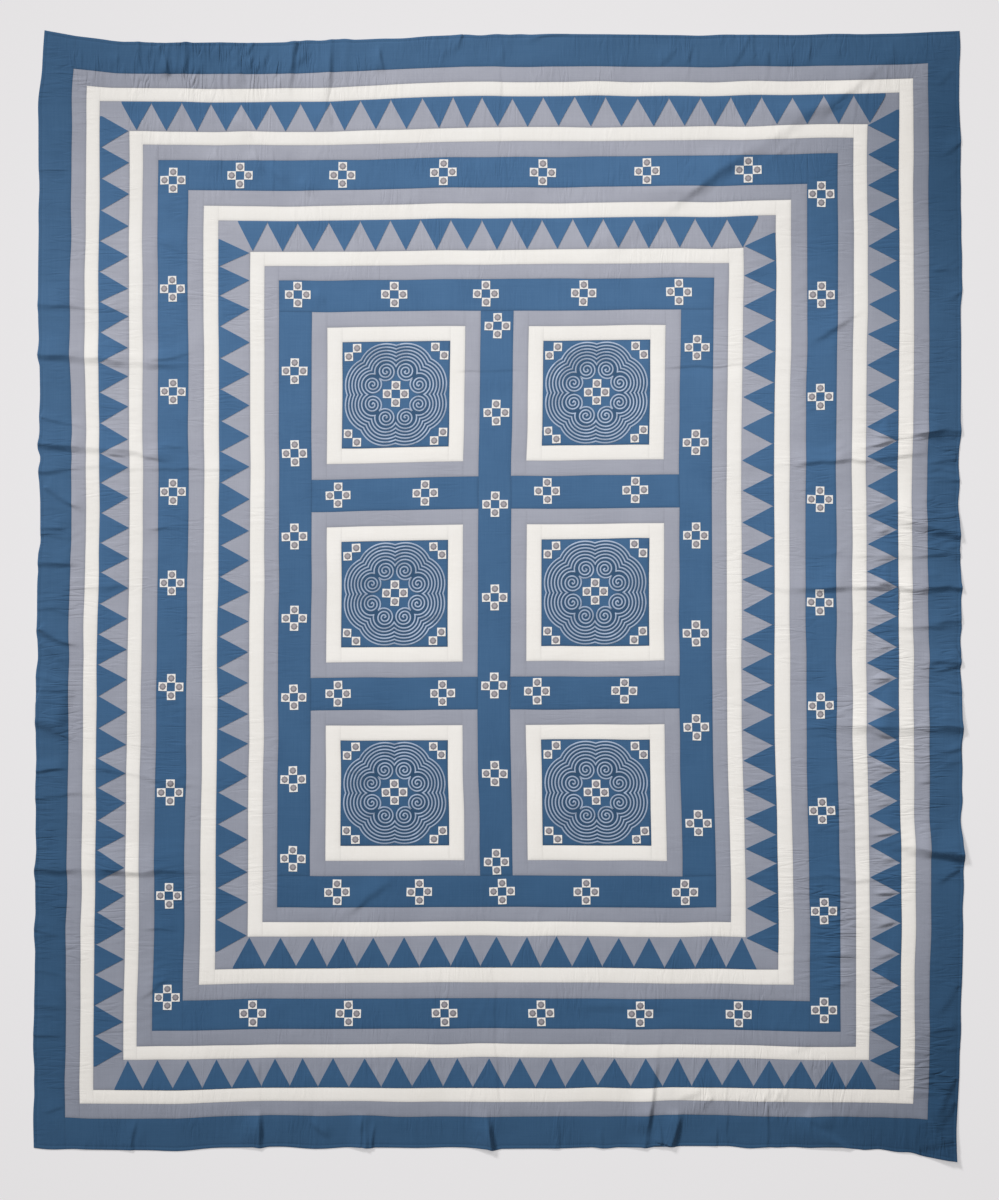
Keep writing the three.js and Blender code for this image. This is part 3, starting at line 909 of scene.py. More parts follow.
def makeCotton(name, look):
    material, tree, shader = newMaterial(name)
    threads = groupNode(tree, weaveGroup, Thread_Scale=weave["threadScale"], Slub=look["slub"])
    dyed = groupNode(tree, dyeGroup, Colour=linear(*look["colour"]), Deep=linear(*look["deep"]),
                     Patch_Scale=look["patch"], Amount=look["amount"], Streak=threads["Streak"])
    # Painted shade: darker towards the foot end, in some spots and along the seams
    shadedColour = groupNode(tree, paintedShadeGroup, Colour=dyed["Colour"], Foot_Tint=(*look["footShade"], 1),
                      Foot_End=look["footEnd"], Seam_Shade=look["seam"])
    tree.links.new(shadedColour["Colour"], shader.inputs["Base Color"])
    rough = mapNode(tree, threads["Streak"], *weave["yarnRange"], *look["rough"])
    tree.links.new(rough, shader.inputs["Roughness"])
    wrinkled = groupNode(tree, creaseGroup, Sharpness=wrinkles["sharpness"])
    creased = bumpNode(tree, wrinkled["Height"], look["crease"], wrinkles["distance"])
    woven = bumpNode(tree, threads["Height"], look["bump"], weave["bumpDistance"], creased)
    tree.links.new(woven, shader.inputs["Normal"])
    shader.inputs["Specular IOR Level"].default_value = weave["specular"]
    shader.inputs["Sheen Weight"].default_value = look["sheen"]
    return material


materials = {name: makeCotton(f"{name}Cotton", look) for name, look in cottons.items()}

# footShade and footEnd set the painted shade on the rosettes towards the foot end and in the spots
rosetteLook = {
    "ring": (144, 140, 145), "middle": (176, 169, 174), "blend": (0.25, 0.75), "rough": (0.6, 0.8),
    "twist": 900, "bump": 0.5, "footShade": (0.68, 0.7, 0.73), "footEnd": -1.3,
}


# Embroidered rosette: darker ring of thread round a paler middle
def makeRosetteThread():
    material, tree, shader = newMaterial("rosetteThread")
    share = mapNode(tree, attributeNode(tree, "ring"), *rosetteLook["blend"], 0.0, 1.0)
    colour = blendColour(tree, "MIX", share, linear(*rosetteLook["middle"]), linear(*rosetteLook["ring"]))
    # Painted shade towards the foot end and in some spots
    shadedColour = groupNode(tree, paintedShadeGroup, Colour=colour, Foot_Tint=(*rosetteLook["footShade"], 1),
                      Foot_End=rosetteLook["footEnd"], Seam_Shade=0.0)
    tree.links.new(shadedColour["Colour"], shader.inputs["Base Color"])
    twist = noiseNode(tree, objectPlace(tree), rosetteLook["twist"], 2)
    rough = mapNode(tree, twist, *weave["yarnRange"], *rosetteLook["rough"])
    tree.links.new(rough, shader.inputs["Roughness"])
    knotted = bumpNode(tree, twist, rosetteLook["bump"], weave["bumpDistance"])
    tree.links.new(knotted, shader.inputs["Normal"])
    return material


materials["rosette"] = makeRosetteThread()
print("materials made:", len(materials))

# Making pieces

sharpAngle = math.radians(55)
pieces = {}


def addObject(name, data):
    made = bpy.data.objects.new(name, data)
    bpy.context.scene.collection.objects.link(made)
    return made


def makePiece(name, points, faces, look, layers):
    mesh = bpy.data.meshes.new(name)
    mesh.from_pydata(points.tolist(), [], faces)
    mesh.update()
    for layer, values in layers.items():
        data = mesh.attributes.new(layer, "FLOAT", "POINT").data
        data.foreach_set("value", np.asarray(values, np.float32))
    mesh.shade_smooth()
    mesh.set_sharp_from_angle(angle=sharpAngle)
    piece = addObject(name, mesh)
    mesh.materials.append(materials[look])
    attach(piece, "root")
    pieces[name] = piece
    return piece


# Joins many small closed shapes into one mesh
class Heap:
    def __init__(self):
        self.points = []
        self.faces = []
        self.layers = {}
        self.count = 0

    def add(self, s, t, z, faces, **layers):
        self.points.append(laidPoints(s, t, z))
        self.faces.extend([[index + self.count for index in face] for face in faces])
        for layer, values in {**puckerLayers(s, t), **layers}.items():
            self.layers.setdefault(layer, []).append(values)
        self.count += len(s)

    def make(self, name, look):
        layers = {layer: np.concatenate(values) for layer, values in self.layers.items()}
        return makePiece(name, np.concatenate(self.points), self.faces, look, layers)


# Faces of a closed sheet: a grid on top, one strip of quads under it and its rim
def sheetFaces(rows, columns):
    index = np.arange(rows * columns).reshape(rows, columns)
    left = rows * columns + 2 * np.arange(rows)
    right = left + 1
    grids = [
        (index[:-1, :-1], index[:-1, 1:], index[1:, 1:], index[1:, :-1]),
        (left[:-1], left[1:], right[1:], right[:-1]),
        (index[:-1, 0], index[1:, 0], left[1:], left[:-1]),
        (index[1:, -1], index[:-1, -1], right[:-1], right[1:]),
    ]
    faces = []
    for quads in grids:
        faces += np.stack([corner.ravel() for corner in quads], axis=1).tolist()
    faces.append([*index[0, ::-1].tolist(), int(left[0]), int(right[0])])
    faces.append([*index[-1].tolist(), int(right[-1]), int(left[-1])])
    return faces


# Values of a sheet's grid, then those of the two edges of the strip under it
def withEdges(values, edges):
    return np.concatenate([values.ravel(), edges.ravel()])


def edgesOf(values):
    return values[:, [0, -1]]


hem = {"stitchLine": 8, "groove": 0.7, "grooveWidth": 1.7, "crown": 1.3, "crownReach": 1.6}


def foldLines():
    lines = []
    for side, at, lean, start, reach, _, _ in folds:
        begin = start - steps["foldLead"]
        ends = [sidePoint(side, inward, at + lean * inward) for inward in (begin, reach)]
        lines.append((*ends[0], *ends[1]))
    return lines + [crease[:4] for crease in creases]


# Stretches along a box's length, upright or level, where a fold crosses it
def foldStretches(box, upright):
    left, right, low, high = box
    margin = steps["foldMargin"]
    share = np.linspace(0, 1, steps["foldSamples"])
    stretches = []
    for s0, t0, s1, t1 in foldLines():
        s = s0 + (s1 - s0) * share
        t = t0 + (t1 - t0) * share
        inside = (s > left - margin) & (s < right + margin) & (t > low - margin) & (t < high + margin)
        runS, runT = abs(s1 - s0), abs(t1 - t0)
        across = runS > runT * steps["foldSlant"] if upright else runT > runS * steps["foldSlant"]
        if inside.any() and across:
            crossed = (t if upright else s)[inside]
            stretches.append((crossed.min() - margin, crossed.max() + margin))
    return stretches


def stationsBetween(low, high, step, hemLow, hemHigh, stretches=()):
    begin = low + np.array(steps["hem" if hemLow else "seam"])
    finish = high - np.array(steps["hem" if hemHigh else "seam"])[::-1]
    marks = [begin[-1]]
    while marks[-1] < finish[0]:
        fine = any(near < marks[-1] < far for near, far in stretches)
        marks.append(marks[-1] + (steps["fold"] if fine else step))
    marks = np.array(marks)
    if len(marks) > 1:
        marks = marks[0] + (marks - marks[0]) * (finish[0] - marks[0]) / (marks[-1] - marks[0])
    return np.concatenate([begin, marks[1:-1], finish])


def boxSeam(box, s, t):
    left, right, low, high = box
    return np.minimum(np.minimum(s - left, right - s), np.minimum(t - low, high - t))


# Distance to the nearest seam of a ring of strips between two boxes, or of one box
def seamDistance(outer, inner, s, t):
    distance = boxSeam(outer, s, t)
    if inner:
        distance = np.minimum(distance, -boxSeam(inner, s, t))
    return np.maximum(distance, 0)


clothTops = {}


# Height of the top of a laid piece of cloth
def topAt(name, s, t):
    across, along, height = clothTops[name]
    column = np.clip(np.searchsorted(across, s) - 1, 0, len(across) - 2)
    row = np.clip(np.searchsorted(along, t) - 1, 0, len(along) - 2)
    u = np.clip((s - across[column]) / (across[column + 1] - across[column]), 0, 1)
    v = np.clip((t - along[row]) / (along[row + 1] - along[row]), 0, 1)
    return inCell(height, row, column, u, v)


seamLook = {"reach": 1.6, "buttDepth": 0.35, "buttWidth": 1.4}  # reach of the painted seam shade; two strips of one ring butt at a corner, where they dip and take painted shade


# Swell of the cloth between its seams, and the painted shade along the seams
def crownAndShade(box, outer, inner, hems, s, t):
    seam = np.maximum(-boxSeam(inner, s, t), 0) if hems else seamDistance(outer or box, inner, s, t)
    shade = np.exp(-seam / seamLook["reach"])
    crown = crownAt(seam)
    if hems:
        edge = hemDistance(s, t)
        groove = hem["groove"] * np.exp(-((edge - hem["stitchLine"]) / hem["grooveWidth"]) ** 2)
        crown = np.minimum(crown, hem["crown"] * (1 - np.exp(-edge / hem["crownReach"]))) - groove
    if outer:
        inside = np.maximum(boxSeam(box, s, t), 0)
        butt = seamLook["buttDepth"] * np.exp(-inside / seamLook["buttWidth"])
        crown = crown - butt * crown
        shade = np.maximum(shade, butt)
    return crown, shade


# Heights of the lower edges along a sheet, so that the flat strip between them stays under its face
def lowerEdges(under, face, span):
    share = (span - span[0]) / (span[-1] - span[0])
    between = under[:, :1] * (1 - share) + under[:, -1:] * share
    excess = np.maximum((between - face).max(axis=1) + top["cloth"] / 2, 0)
    return np.maximum(edgesOf(under) - excess[:, None], top["lowest"])


# One rectangle of the flat top as laid cloth, part of the ring between the boxes outer and inner
def makeCloth(name, look, box, node, outer=None, inner=None, hems=(), paintedGroundShade=None):
    left, right, low, high = box
    gap = top["seam"] / 2
    upright = high - low >= right - left
    stretches = foldStretches(box, upright)
    inField = min(fieldDepth(left, low), fieldDepth(right, high)) > -gap
    stepS, stepT = steps["across"], steps["inField" if inField else "along"]
    if not upright:
        stepS, stepT = stepT, stepS
    across = stationsBetween(left + gap, right - gap, stepS, "left" in hems, "right" in hems,
                             () if upright else stretches)
    along = stationsBetween(low + gap, high - gap, stepT, "bottom" in hems, "top" in hems,
                            stretches if upright else ())
    if upright:
        s, t = np.meshgrid(across, along)
    else:
        t, s = np.meshgrid(along[::-1], across)
    crown, shade = crownAndShade(box, outer, inner, hems, s, t)
    # painted shade on a panel's ground between its lines
    if paintedGroundShade:
        shade = np.maximum(shade, paintedGroundShade(s, t))
    under = underside(s, t)
    face = under + top["cloth"] + crown
    clothTops[name] = (across, along, face if upright else face.T[::-1])
    allS = withEdges(s, edgesOf(s))
    allT = withEdges(t, edgesOf(t))
    allZ = withEdges(face, lowerEdges(under, face, s[0] if upright else t[0]))
    # The seam layer holds the painted shade along the seams
    layers = {"seam": withEdges(shade, np.zeros((len(s), 2))), **puckerLayers(allS, allT)}
    piece = makePiece(f"{name}_cloth", laidPoints(allS, allT, allZ), sheetFaces(*s.shape), look, layers)
    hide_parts(node)


def ringBounds(index):
    edge = halfWidth - insets[index]
    end = halfLength - insets[index]
    return -edge, edge, -end, end


# The four strips of a ring: left and right run its full length, top and bottom fit between them
def ringParts(outer, inner):
    left, right, low, high = outer
    innerLeft, innerRight, innerLow, innerHigh = inner
    return {
        "left": (left, innerLeft, low, high),
        "right": (innerRight, right, low, high),
        "top": (innerLeft, innerRight, innerHigh, high),
        "bottom": (innerLeft, innerRight, low, innerLow),
    }


for index, (ring, look, _) in enumerate(rings):
    outer, inner = ringBounds(index), ringBounds(index + 1)
    for side, box in ringParts(outer, inner).items():
        hems = ()
        if index == 0:
            hems = (side, "top", "bottom") if side in uprightSides else (side,)
        makeCloth(f"{ring}_{side}", look, box, f"{ring}_{side}", outer, inner, hems)
print("strips laid:", len(pieces))

for name, box in {
    "sash_top": (-fieldEdge, fieldEdge, innerEnd, fieldEnd),
    "sash_bottom": (-fieldEdge, fieldEdge, -fieldEnd, -innerEnd),
    "sash_left": (-fieldEdge, top["sash"] - fieldEdge, -innerEnd, innerEnd),
    "sash_middle": (-top["sash"] / 2, top["sash"] / 2, -innerEnd, innerEnd),
    "sash_right": (fieldEdge - top["sash"], fieldEdge, -innerEnd, innerEnd),
}.items():
    makeCloth(name, "blue", box, name)

# Spiral panels: eight spirals and the lines round them, a cross in the middle, two squares in each corner
spirals = {
    "near": 24.5, "far": 57,  # their middles from the panel's
    "pitch": 8.1, "start": 1.6, "lineStep": 3,
    "contours": 6, "firstContour": 27.4, "contourPitch": 8.2,
    "lineWidth": 4.1, "lineRise": 0.5, "lineBevel": 0.6, "lineTuck": 0.35, "cuspLimit": 1.7,
    # the ground values set the painted shade between the lines
    "groundShade": 0.8, "groundMiddle": 60, "groundSoft": 12, "groundRim": (-4, 5), "groundEye": (18, 27),
}
panelSquares = {"inset": 26, "offset": 10.6, "size": 20.8, "crossUp": 2}
middles = np.array([[spirals["far"], spirals["near"]], [spirals["near"], spirals["far"]]])
middles = np.concatenate([middles, middles[::-1] * [-1, 1], -middles, middles[::-1] * [1, -1]])


# The ground between the raised lines of a panel lies deeper and takes painted shade there
def panelGroundShade(box):
    centreS, centreT = (box[0] + box[1]) / 2, (box[2] + box[3]) / 2
    last = spirals["firstContour"] + (spirals["contours"] - 1) * spirals["contourPitch"]
    rim = [last + step for step in spirals["groundRim"]]

    def shadeAt(s, t):
        nearest = np.min([np.hypot(s - centreS - u, t - centreT - v) for u, v in middles], axis=0)
        fromMiddle = np.hypot(s - centreS, t - centreT) - spirals["groundMiddle"]
        middle = 1 - smooth(-spirals["groundSoft"], 0, fromMiddle)
        between = 1 - smooth(*rim, nearest)
        return spirals["groundShade"] * between * (1 - middle * smooth(*spirals["groundEye"], nearest))

    return shadeAt


# Blocks: grey frame, white frame and blue panel, with a crosspiece under the two upper rows
block = {"greyFrame": 38, "whiteFrame": 37}
columnsLeft = {"left": top["sash"] - fieldEdge, "right": top["sash"] / 2}
panels = {}


def makeFrame(name, look, box, width, node):
    left, right, low, high = box
    inner = (left + width, right - width, low + width, high - width)
    for side, part in ringParts(box, inner).items():
        makeCloth(f"{name}_{side}", look, part, node, box, inner)
    return inner


for row in range(top["blockRows"]):
    high = innerEnd - row * (blockLength + top["sash"])
    low = high - blockLength
    for column, left in columnsLeft.items():
        key = f"{row + 1}_{column}"
        box = (left, left + blockWidth, low, high)
        box = makeFrame(f"frame_grey_{key}", "grey", box, block["greyFrame"], f"block_{key}")
        box = makeFrame(f"frame_white_{key}", "white", box, block["whiteFrame"], f"block_{key}")
        makeCloth(f"panel_{key}", "panel", box, f"block_{key}", paintedGroundShade=panelGroundShade(box))
        panels[key] = box
        if row < top["blockRows"] - 1:
            crosspiece = (left, left + blockWidth, low - top["sash"], low)
            makeCloth(f"crosspiece_{key}", "blue", crosspiece, f"block_{key}")
print("field laid:", len(pieces))

# Applique that lies on the strips

applique = {"lift": 0.85, "tuck": 0.4, "gap": 0.2}


# How far a strip rises through a grid of points that lie on it
def riseThrough(strip, s, t, face):
    rises = []
    for first, second in (((0, 0), (0, 1)), ((0, 0), (1, 0)), ((0, 0), (1, 1)), ((0, 1), (1, 0))):
        ends = []
        for row, column in (first, second):
            part = (slice(row, len(s) - 1 + row), slice(column, s.shape[1] - 1 + column))
            ends.append((s[part], t[part], face[part]))
        middle = [(one + other) / 2 for one, other in zip(*ends)]
        rises.append(np.max(topAt(strip, middle[0], middle[1]) - middle[2]))
    return max(rises)


# The coarsest of some grids that follows its strip closely, and the heights of its points
def closeGrid(strip, counts, pointsFor):
    for count in counts:
        s, t = pointsFor(count)
        face = topAt(strip, s, t)
        if riseThrough(strip, s, t, face) < applique["gap"]:
            break
    return s, t, face


# A patch of cloth on a strip, with its rim tucked in
def addPatch(heap, s, t, face):
    z = withEdges(face + applique["lift"], edgesOf(face) - applique["tuck"])
    heap.add(withEdges(s, edgesOf(s)), withEdges(t, edgesOf(t)), z, sheetFaces(*s.shape))


teeth = {
    "columns": (8, 14, 22, 32), "share": 0.995, "baseGap": 0.8, "tipGap": 1.6, "tipWidth": 1, "markGap": 1,
    "jitter": 1, "lean": 2.2, "short": 2.4,
    "merge": (0, 6.5),  # neighbours join for this far from their base
}
sewing = np.random.default_rng(19)  # the unevenness of what is sewn on
sewnOn = {}


# A tooth with its base along the outer seam of its strip and its tip inwards
def addTooth(heap, strip, side, centre, halves, marks, base, tip):
    tip = tip - sewing.uniform(0, teeth["short"])
    merge = sewing.uniform(*teeth["merge"])
    lean = sewing.uniform(-1, 1) * teeth["lean"]
    inner = marks[(marks > base + teeth["markGap"]) & (marks < tip - teeth["markGap"])]
    stations = np.concatenate([[base], inner, [tip]])
    share = (stations - base) / (tip - base)
    reach = np.clip((1 - share) * (tip - base) / (tip - base - merge), 0, 1)

    def pointsFor(columns):
        spread = np.linspace(-1, 1, columns + 1)[::-1 if side in ("left", "top") else 1]
        wide = np.where(spread < 0, halves[0], halves[1]) * spread
        along = centre + (lean * share)[:, None] + reach[:, None] * wide + teeth["tipWidth"] / 2 * spread
        along = np.clip(along, centre - halves[0], centre + halves[1])
        return sidePoint(side, stations[:, None] + along * 0, along)

    addPatch(heap, *closeGrid(strip, teeth["columns"], pointsFor))


for ring, side, runs in teethRows:
    strip = f"{ring}_{side}"
    index = ringNumbers[ring]
    across, along, _ = clothTops[strip]
    marks = {"left": across + halfWidth, "right": halfWidth - across[::-1],
             "top": halfLength - along[::-1], "bottom": along + halfLength}[side]
    base = insets[index] + teeth["baseGap"]
    tip = insets[index + 1] - teeth["tipGap"]
    centres = toothCentres(runs)
    centres = centres + sewing.uniform(-1, 1, len(centres)) * teeth["jitter"]
    gaps = np.diff(centres) / 2 * teeth["share"]
    gaps = np.concatenate([gaps[:1], gaps, gaps[-1:]])
    heap = Heap()
    for number, centre in enumerate(centres):
        addTooth(heap, strip, side, centre, (gaps[number], gaps[number + 1]), marks, base, tip)
    sewnOn.setdefault(strip, []).append(heap.make(f"{strip}_blue", "blue"))
print("teeth sewn on:", sum(run[2] for _, _, runs in teethRows for run in runs))

# Four white squares round a gap, each with a rosette
cross = {"offset": 21, "square": 20.9, "cells": (4, 7, 10, 14), "turn": 2.2, "uneven": 0.7}
rosette = {"spokes": 16, "petals": 8, "petalDepth": 0.06,
           "rings": [(2.6, 0.55, 0.1), (6.2, 0.75, 1.0), (8.9, -0.25, 1.0)],  # radius, rise, thread ring
           "middleRise": 0.6}
crossRows = [  # strip, level across it, places along it
    ("band_top", 1042, [-636, -382, -134, 113, 373, 622]),
    ("band_bottom", -1041, [-594, -361, -127, 109, 352, 593]),
    ("band_left", -803, [1029, 759, 504, 257, 30, -228, -489, -746, -996]),
    ("band_right", 800, [979, 730, 478, 226, -26, -280, -537, -784, -1026]),
    ("sash_top", 742, [-492, -254, -28, 214, 452]),
    ("sash_bottom", -739, [-391, -190, 14, 220, 463]),
    ("sash_left", -499, [555, 352, 146, -58, -253, -457, -657]),
    ("sash_right", 498, [604, 368, 138, -102, -333, -568]),
    ("sash_middle", 1, [662, 446, 217, -11, -228, -446, -665]),
    ("crosspiece_1_left", 248, [-391, -173]),
    ("crosspiece_1_right", 250, [129, 348]),
    ("crosspiece_2_left", -246, [-389, -127]),
    ("crosspiece_2_right", -242, [107, 321]),
]


def addSquare(squares, rosettes, strip, centreS, centreT, size):
    turn = math.radians(sewing.uniform(-1, 1) * cross["turn"])
    centreS += sewing.uniform(-1, 1) * cross["uneven"]
    centreT += sewing.uniform(-1, 1) * cross["uneven"]

    def pointsFor(cells):
        marks = np.linspace(-size / 2, size / 2, cells + 1)
        u, v = np.meshgrid(marks, marks)
        return (centreS + u * math.cos(turn) - v * math.sin(turn),
                centreT + u * math.sin(turn) + v * math.cos(turn))

    addPatch(squares, *closeGrid(strip, cross["cells"], pointsFor))
    addRosette(rosettes, strip, centreS, centreT)


# Rings of points round a middle, the last one tucked into the square
def addRosette(heap, strip, centreS, centreT):
    count = rosette["spokes"]
    angle = np.arange(count) * 2 * math.pi / count
    petal = 1 + rosette["petalDepth"] * np.cos(angle * rosette["petals"])
    radii, rises, threads = zip(*rosette["rings"])
    s = np.concatenate([[centreS], *(centreS + radius * petal * np.cos(angle) for radius in radii)])
    t = np.concatenate([[centreT], *(centreT + radius * petal * np.sin(angle) for radius in radii)])
    rise = np.concatenate([[rosette["middleRise"]], np.repeat(rises, count)])
    thread = np.concatenate([[0.0], np.repeat(threads, count)])
    z = topAt(strip, s, t) + applique["lift"] + rise
    spokes = [(number, (number + 1) % count) for number in range(count)]
    faces = [[0, 1 + a, 1 + b] for a, b in spokes]
    last = 1 + (len(radii) - 1) * count
    for inner in range(1, last, count):
        outer = inner + count
        faces += [[inner + a, outer + a, outer + b, inner + b] for a, b in spokes]
    faces.append([last + number for number in reversed(range(count))])
    heap.add(s, t, z, faces, ring=thread)


def addCross(squares, rosettes, strip, centreS, centreT):
    for stepS, stepT in ((0, 1), (-1, 0), (1, 0), (0, -1)):
        atS = centreS + stepS * cross["offset"]
        atT = centreT + stepT * cross["offset"]
        addSquare(squares, rosettes, strip, atS, atT, cross["square"])


def sewSquares(strip, squares, rosettes):
    sewnOn.setdefault(strip, []).append(squares.make(f"{strip}_squares", "white"))
    sewnOn[strip].append(rosettes.make(f"{strip}_rosettes", "rosette"))


for strip, level, marks in crossRows:
    squares, rosettes = Heap(), Heap()
    upright = not strip.startswith("crosspiece") and not strip.endswith(("top", "bottom"))
    for mark in marks:
        addCross(squares, rosettes, strip, *((level, mark) if upright else (mark, level)))
    sewSquares(strip, squares, rosettes)
print("crosses sewn on:", sum(len(marks) for _, _, marks in crossRows))


# Ribbon along a line of (s, t) points, closed or with two ends
def addRibbon(heap, strip, path, closed):
    ahead = np.roll(path, -1, axis=0) - path
    behind = path - np.roll(path, 1, axis=0)
    if not closed:
        ahead[-1] = behind[-1]
        behind[0] = ahead[0]
    ahead /= np.linalg.norm(ahead, axis=1)[:, None]
    behind /= np.linalg.norm(behind, axis=1)[:, None]
    tangent = ahead + behind
    tangent /= np.maximum(np.linalg.norm(tangent, axis=1)[:, None], 1e-9)
    normal = np.stack([-tangent[:, 1], tangent[:, 0]], axis=1)
    widen = 1 / np.maximum((tangent * ahead).sum(1), 1 / spirals["cuspLimit"])
    half = spirals["lineWidth"] / 2
    offsets = [-half, spirals["lineBevel"] - half, half - spirals["lineBevel"], half]
    rises = [-spirals["lineTuck"], spirals["lineRise"], spirals["lineRise"], -spirals["lineTuck"]]
    edges = np.stack([path + normal * (offset * widen)[:, None] for offset in offsets], axis=1)
    s, t = edges.reshape(-1, 2).T
    z = topAt(strip, s, t) + np.tile(rises, len(path))
    count, around = len(path), len(offsets)
    faces = []
    for step in range(count if closed else count - 1):
        here, there = around * step, around * ((step + 1) % count)
        for first in range(around):
            second = (first + 1) % around
            faces.append([here + first, there + first, there + second, here + second])
    if not closed:
        faces.append(list(range(around)))
        faces.append([around * count - 1 - corner for corner in range(around)])
    heap.add(s, t, z, faces)


# Outer edge of eight equal circles about the spirals' middles
def contourPath(radius):
    path = []
    for number, middle in enumerate(middles):
        ends = []
        for other in (middles[number - 1], middles[(number + 1) % len(middles)]):
            between = (middle + other) / 2
            away = between / np.linalg.norm(between)
            reach = math.sqrt(radius ** 2 - ((middle - other) ** 2).sum() / 4)
            cusp = between + away * reach - middle
            ends.append(math.atan2(cusp[1], cusp[0]))
        begin, finish = ends
        if finish < begin:
            finish += 2 * math.pi
        count = math.ceil((finish - begin) * radius / spirals["lineStep"])
        angles = np.linspace(begin, finish, count + 1)[:-1]
        path.append(middle + radius * np.stack([np.cos(angles), np.sin(angles)], axis=1))
    return np.concatenate(path)


# Spiral that opens towards its neighbour across the panel's diagonal
def spiralPath(number):
    middle = middles[number]
    partner = middle[::-1] if middle[0] * middle[1] > 0 else -middle[::-1]
    between = (middle + partner) / 2
    finish = math.atan2(*(between - middle)[::-1])
    radius = np.linalg.norm(between - middle)
    hand = 1 if middle[0] * between[1] - middle[1] * between[0] > 0 else -1
    sweep = (radius - spirals["start"]) / spirals["pitch"] * 2 * math.pi
    length = sweep * (radius + spirals["start"]) / 2
    count = math.ceil(length / spirals["lineStep"])
    share = np.sqrt(np.linspace(0, 1, count + 1))
    reach = spirals["start"] + (radius - spirals["start"]) * share
    angles = finish + hand * sweep * (1 - share)
    return middle + reach[:, None] * np.stack([np.cos(angles), np.sin(angles)], axis=1)


for key, (left, right, low, high) in panels.items():
    panel = f"panel_{key}"
    centre = np.array([(left + right) / 2, (low + high) / 2])
    lines = Heap()
    for number in range(len(middles)):
        addRibbon(lines, panel, centre + spiralPath(number), False)
    for number in range(spirals["contours"]):
        radius = spirals["firstContour"] + number * spirals["contourPitch"]
        addRibbon(lines, panel, centre + contourPath(radius), True)
    sewnOn.setdefault(panel, []).append(lines.make(f"{panel}_lines", "line"))
    squares, rosettes = Heap(), Heap()
    addCross(squares, rosettes, panel, centre[0], centre[1] + panelSquares["crossUp"])
    for signS in (-1, 1):
        for signT in (-1, 1):
            cornerS = centre[0] + signS * ((right - left) / 2 - panelSquares["inset"])
            cornerT = centre[1] + signT * ((high - low) / 2 - panelSquares["inset"])
            for step in (-panelSquares["offset"], panelSquares["offset"]):
                addSquare(squares, rosettes, panel, cornerS + signS * step, cornerT - signT * step,
                          panelSquares["size"])
    sewSquares(panel, squares, rosettes)
print("spiral panels sewn:", len(panels))

# Running stitch along the hem
stitch = {"pitch": 5.2, "length": 3.4, "width": 0.9, "rise": 0.35, "tuck": 0.3, "taper": 0.5}


def addStitch(heap, side, along):
    middle = np.array(sidePoint(side, hem["stitchLine"], along))
    run = np.array([0.0, 1.0]) if side in uprightSides else np.array([1.0, 0.0])
    aside = np.array([-run[1], run[0]])
    half = stitch["length"] / 2
    full = half * stitch["taper"]
    wide = stitch["width"] / 2
    ring = [(-half, 0), (-full, -wide), (full, -wide), (half, 0), (full, wide), (-full, wide)]
    flat = np.array([middle + run * u + aside * v for u, v in ring])
    ridgeEnds = np.array([middle - run * full, middle + run * full])
    s, t = np.concatenate([flat, ridgeEnds]).T
    lift = np.array([-stitch["tuck"]] * len(ring) + [stitch["rise"]] * len(ridgeEnds))
    edge = halfWidth - insets[1]
    strip = side if abs(middle[0]) < edge else "left" if middle[0] < 0 else "right"
    z = topAt(f"border_{strip}", s, t) + lift
    faces = [[0, 1, 6], [1, 2, 7, 6], [2, 3, 7], [3, 4, 7], [4, 5, 6, 7], [5, 0, 6], [5, 4, 3, 2, 1, 0]]
    heap.add(s, t, z, faces)


for side in ("left", "right", "top", "bottom"):
    half = (halfLength if side in uprightSides else halfWidth) - hem["stitchLine"] - stitch["pitch"]
    heap = Heap()
    for along in np.arange(-half, half, stitch["pitch"]):
        addStitch(heap, side, along)
    sewnOn.setdefault(f"border_{side}", []).append(heap.make(f"hem_stitch_{side}", "thread"))
print("hem stitched")

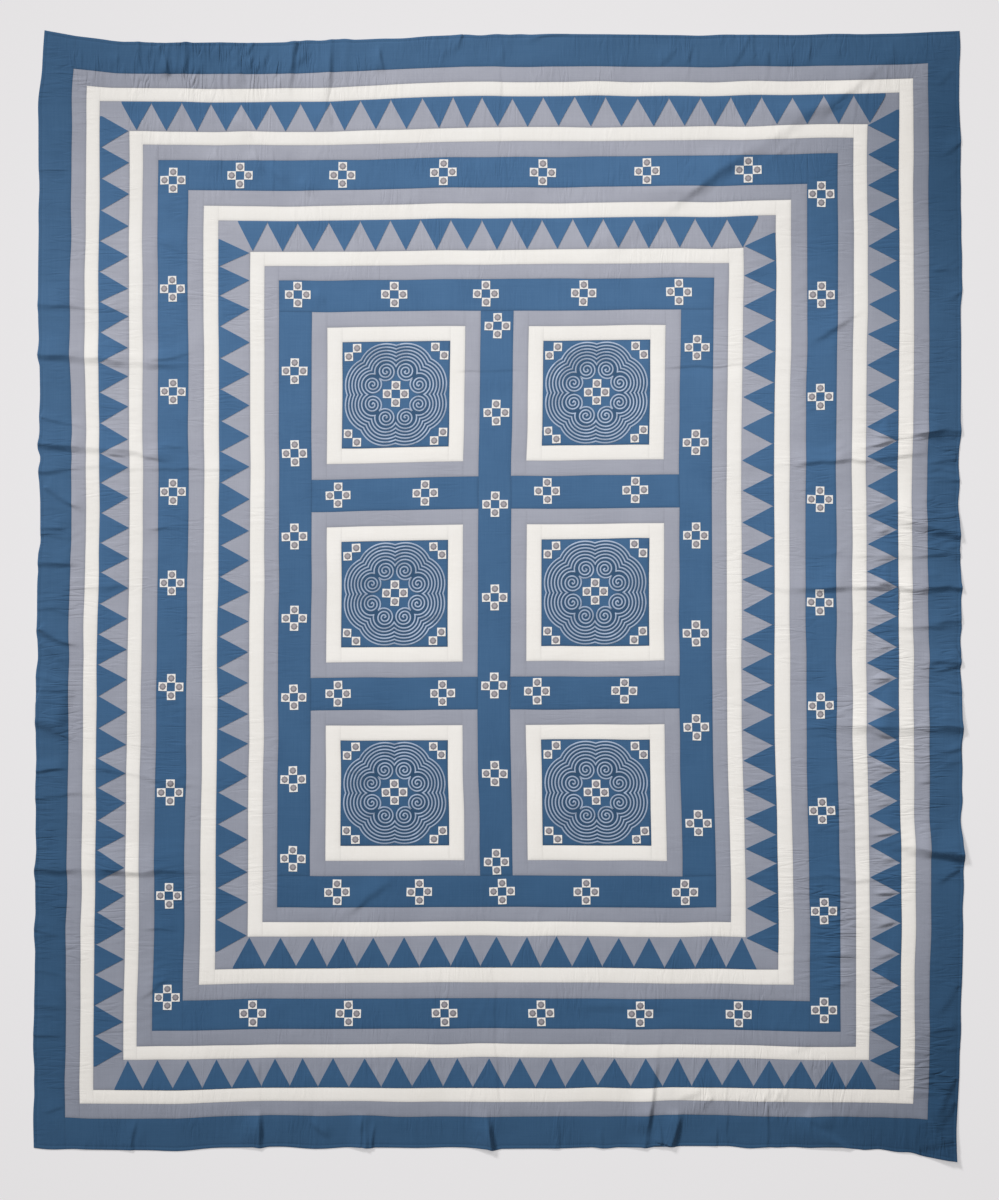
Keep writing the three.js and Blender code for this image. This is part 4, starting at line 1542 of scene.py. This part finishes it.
# Stage, light and camera
stage = {"floorSize": 40, "floorColour": (236, 234, 235), "floorGlow": 0.5, "floorDrop": 0.0004,
         "floorRough": 0.9}
lights = {
    "sun": {"energy": 2.8, "angle": 12, "tilt": 60, "turn": 36},
    "ceiling": {"energy": 38, "size": 1.5, "at": (-0.1, 0.4, 3.2)},
    "sky": 0.18,
}

bpy.ops.mesh.primitive_plane_add(size=stage["floorSize"], location=(0, 0, -stage["floorDrop"]))
floor = bpy.context.object
floor.name = "floor"
floorPaint, _, paint = newMaterial("floorPaint")
pale = linear(*stage["floorColour"])
paint.inputs["Base Color"].default_value = tuple(c * (1 - stage["floorGlow"]) for c in pale[:3]) + (1,)
paint.inputs["Roughness"].default_value = stage["floorRough"]
paint.inputs["Specular IOR Level"].default_value = 0.0
paint.inputs["Emission Color"].default_value = pale
paint.inputs["Emission Strength"].default_value = stage["floorGlow"]
floor.data.materials.append(floorPaint)

sunData = bpy.data.lights.new("windowSun", "SUN")
sunData.energy = lights["sun"]["energy"]
sunData.angle = math.radians(lights["sun"]["angle"])
sun = addObject("windowSun", sunData)
sun.rotation_euler = (math.radians(lights["sun"]["tilt"]), 0, math.radians(180 + lights["sun"]["turn"]))

ceilingData = bpy.data.lights.new("ceilingPanel", "AREA")
ceilingData.energy = lights["ceiling"]["energy"]
ceilingData.size = lights["ceiling"]["size"]
ceiling = addObject("ceilingPanel", ceilingData)
ceiling.location = lights["ceiling"]["at"]
ceiling.visible_camera = False

world = bpy.data.worlds.new("softRoom")
world.use_nodes = True
sky = world.node_tree.nodes["Background"]
sky.inputs["Strength"].default_value = lights["sky"]
sky.inputs["Color"].default_value = (1, 1, 1, 1)
bpy.context.scene.world = world
bpy.context.scene.view_settings.view_transform = "Standard"
bpy.context.scene.view_settings.look = "None"

camera = {"at": (0.0025, -0.0106, 7.0125), "lens": 85, "sensor": 36}
cameraData = bpy.data.cameras.new("overheadCamera")
cameraData.lens = camera["lens"]
cameraData.sensor_width = camera["sensor"]
overhead = addObject("overheadCamera", cameraData)
overhead.location = camera["at"]  # looks straight down, with the head end up
bpy.context.scene.camera = overhead
triangles = sum(len(piece.data.loops) - 2 * len(piece.data.polygons) for piece in pieces.values())
print("stage set,", triangles, "triangles")
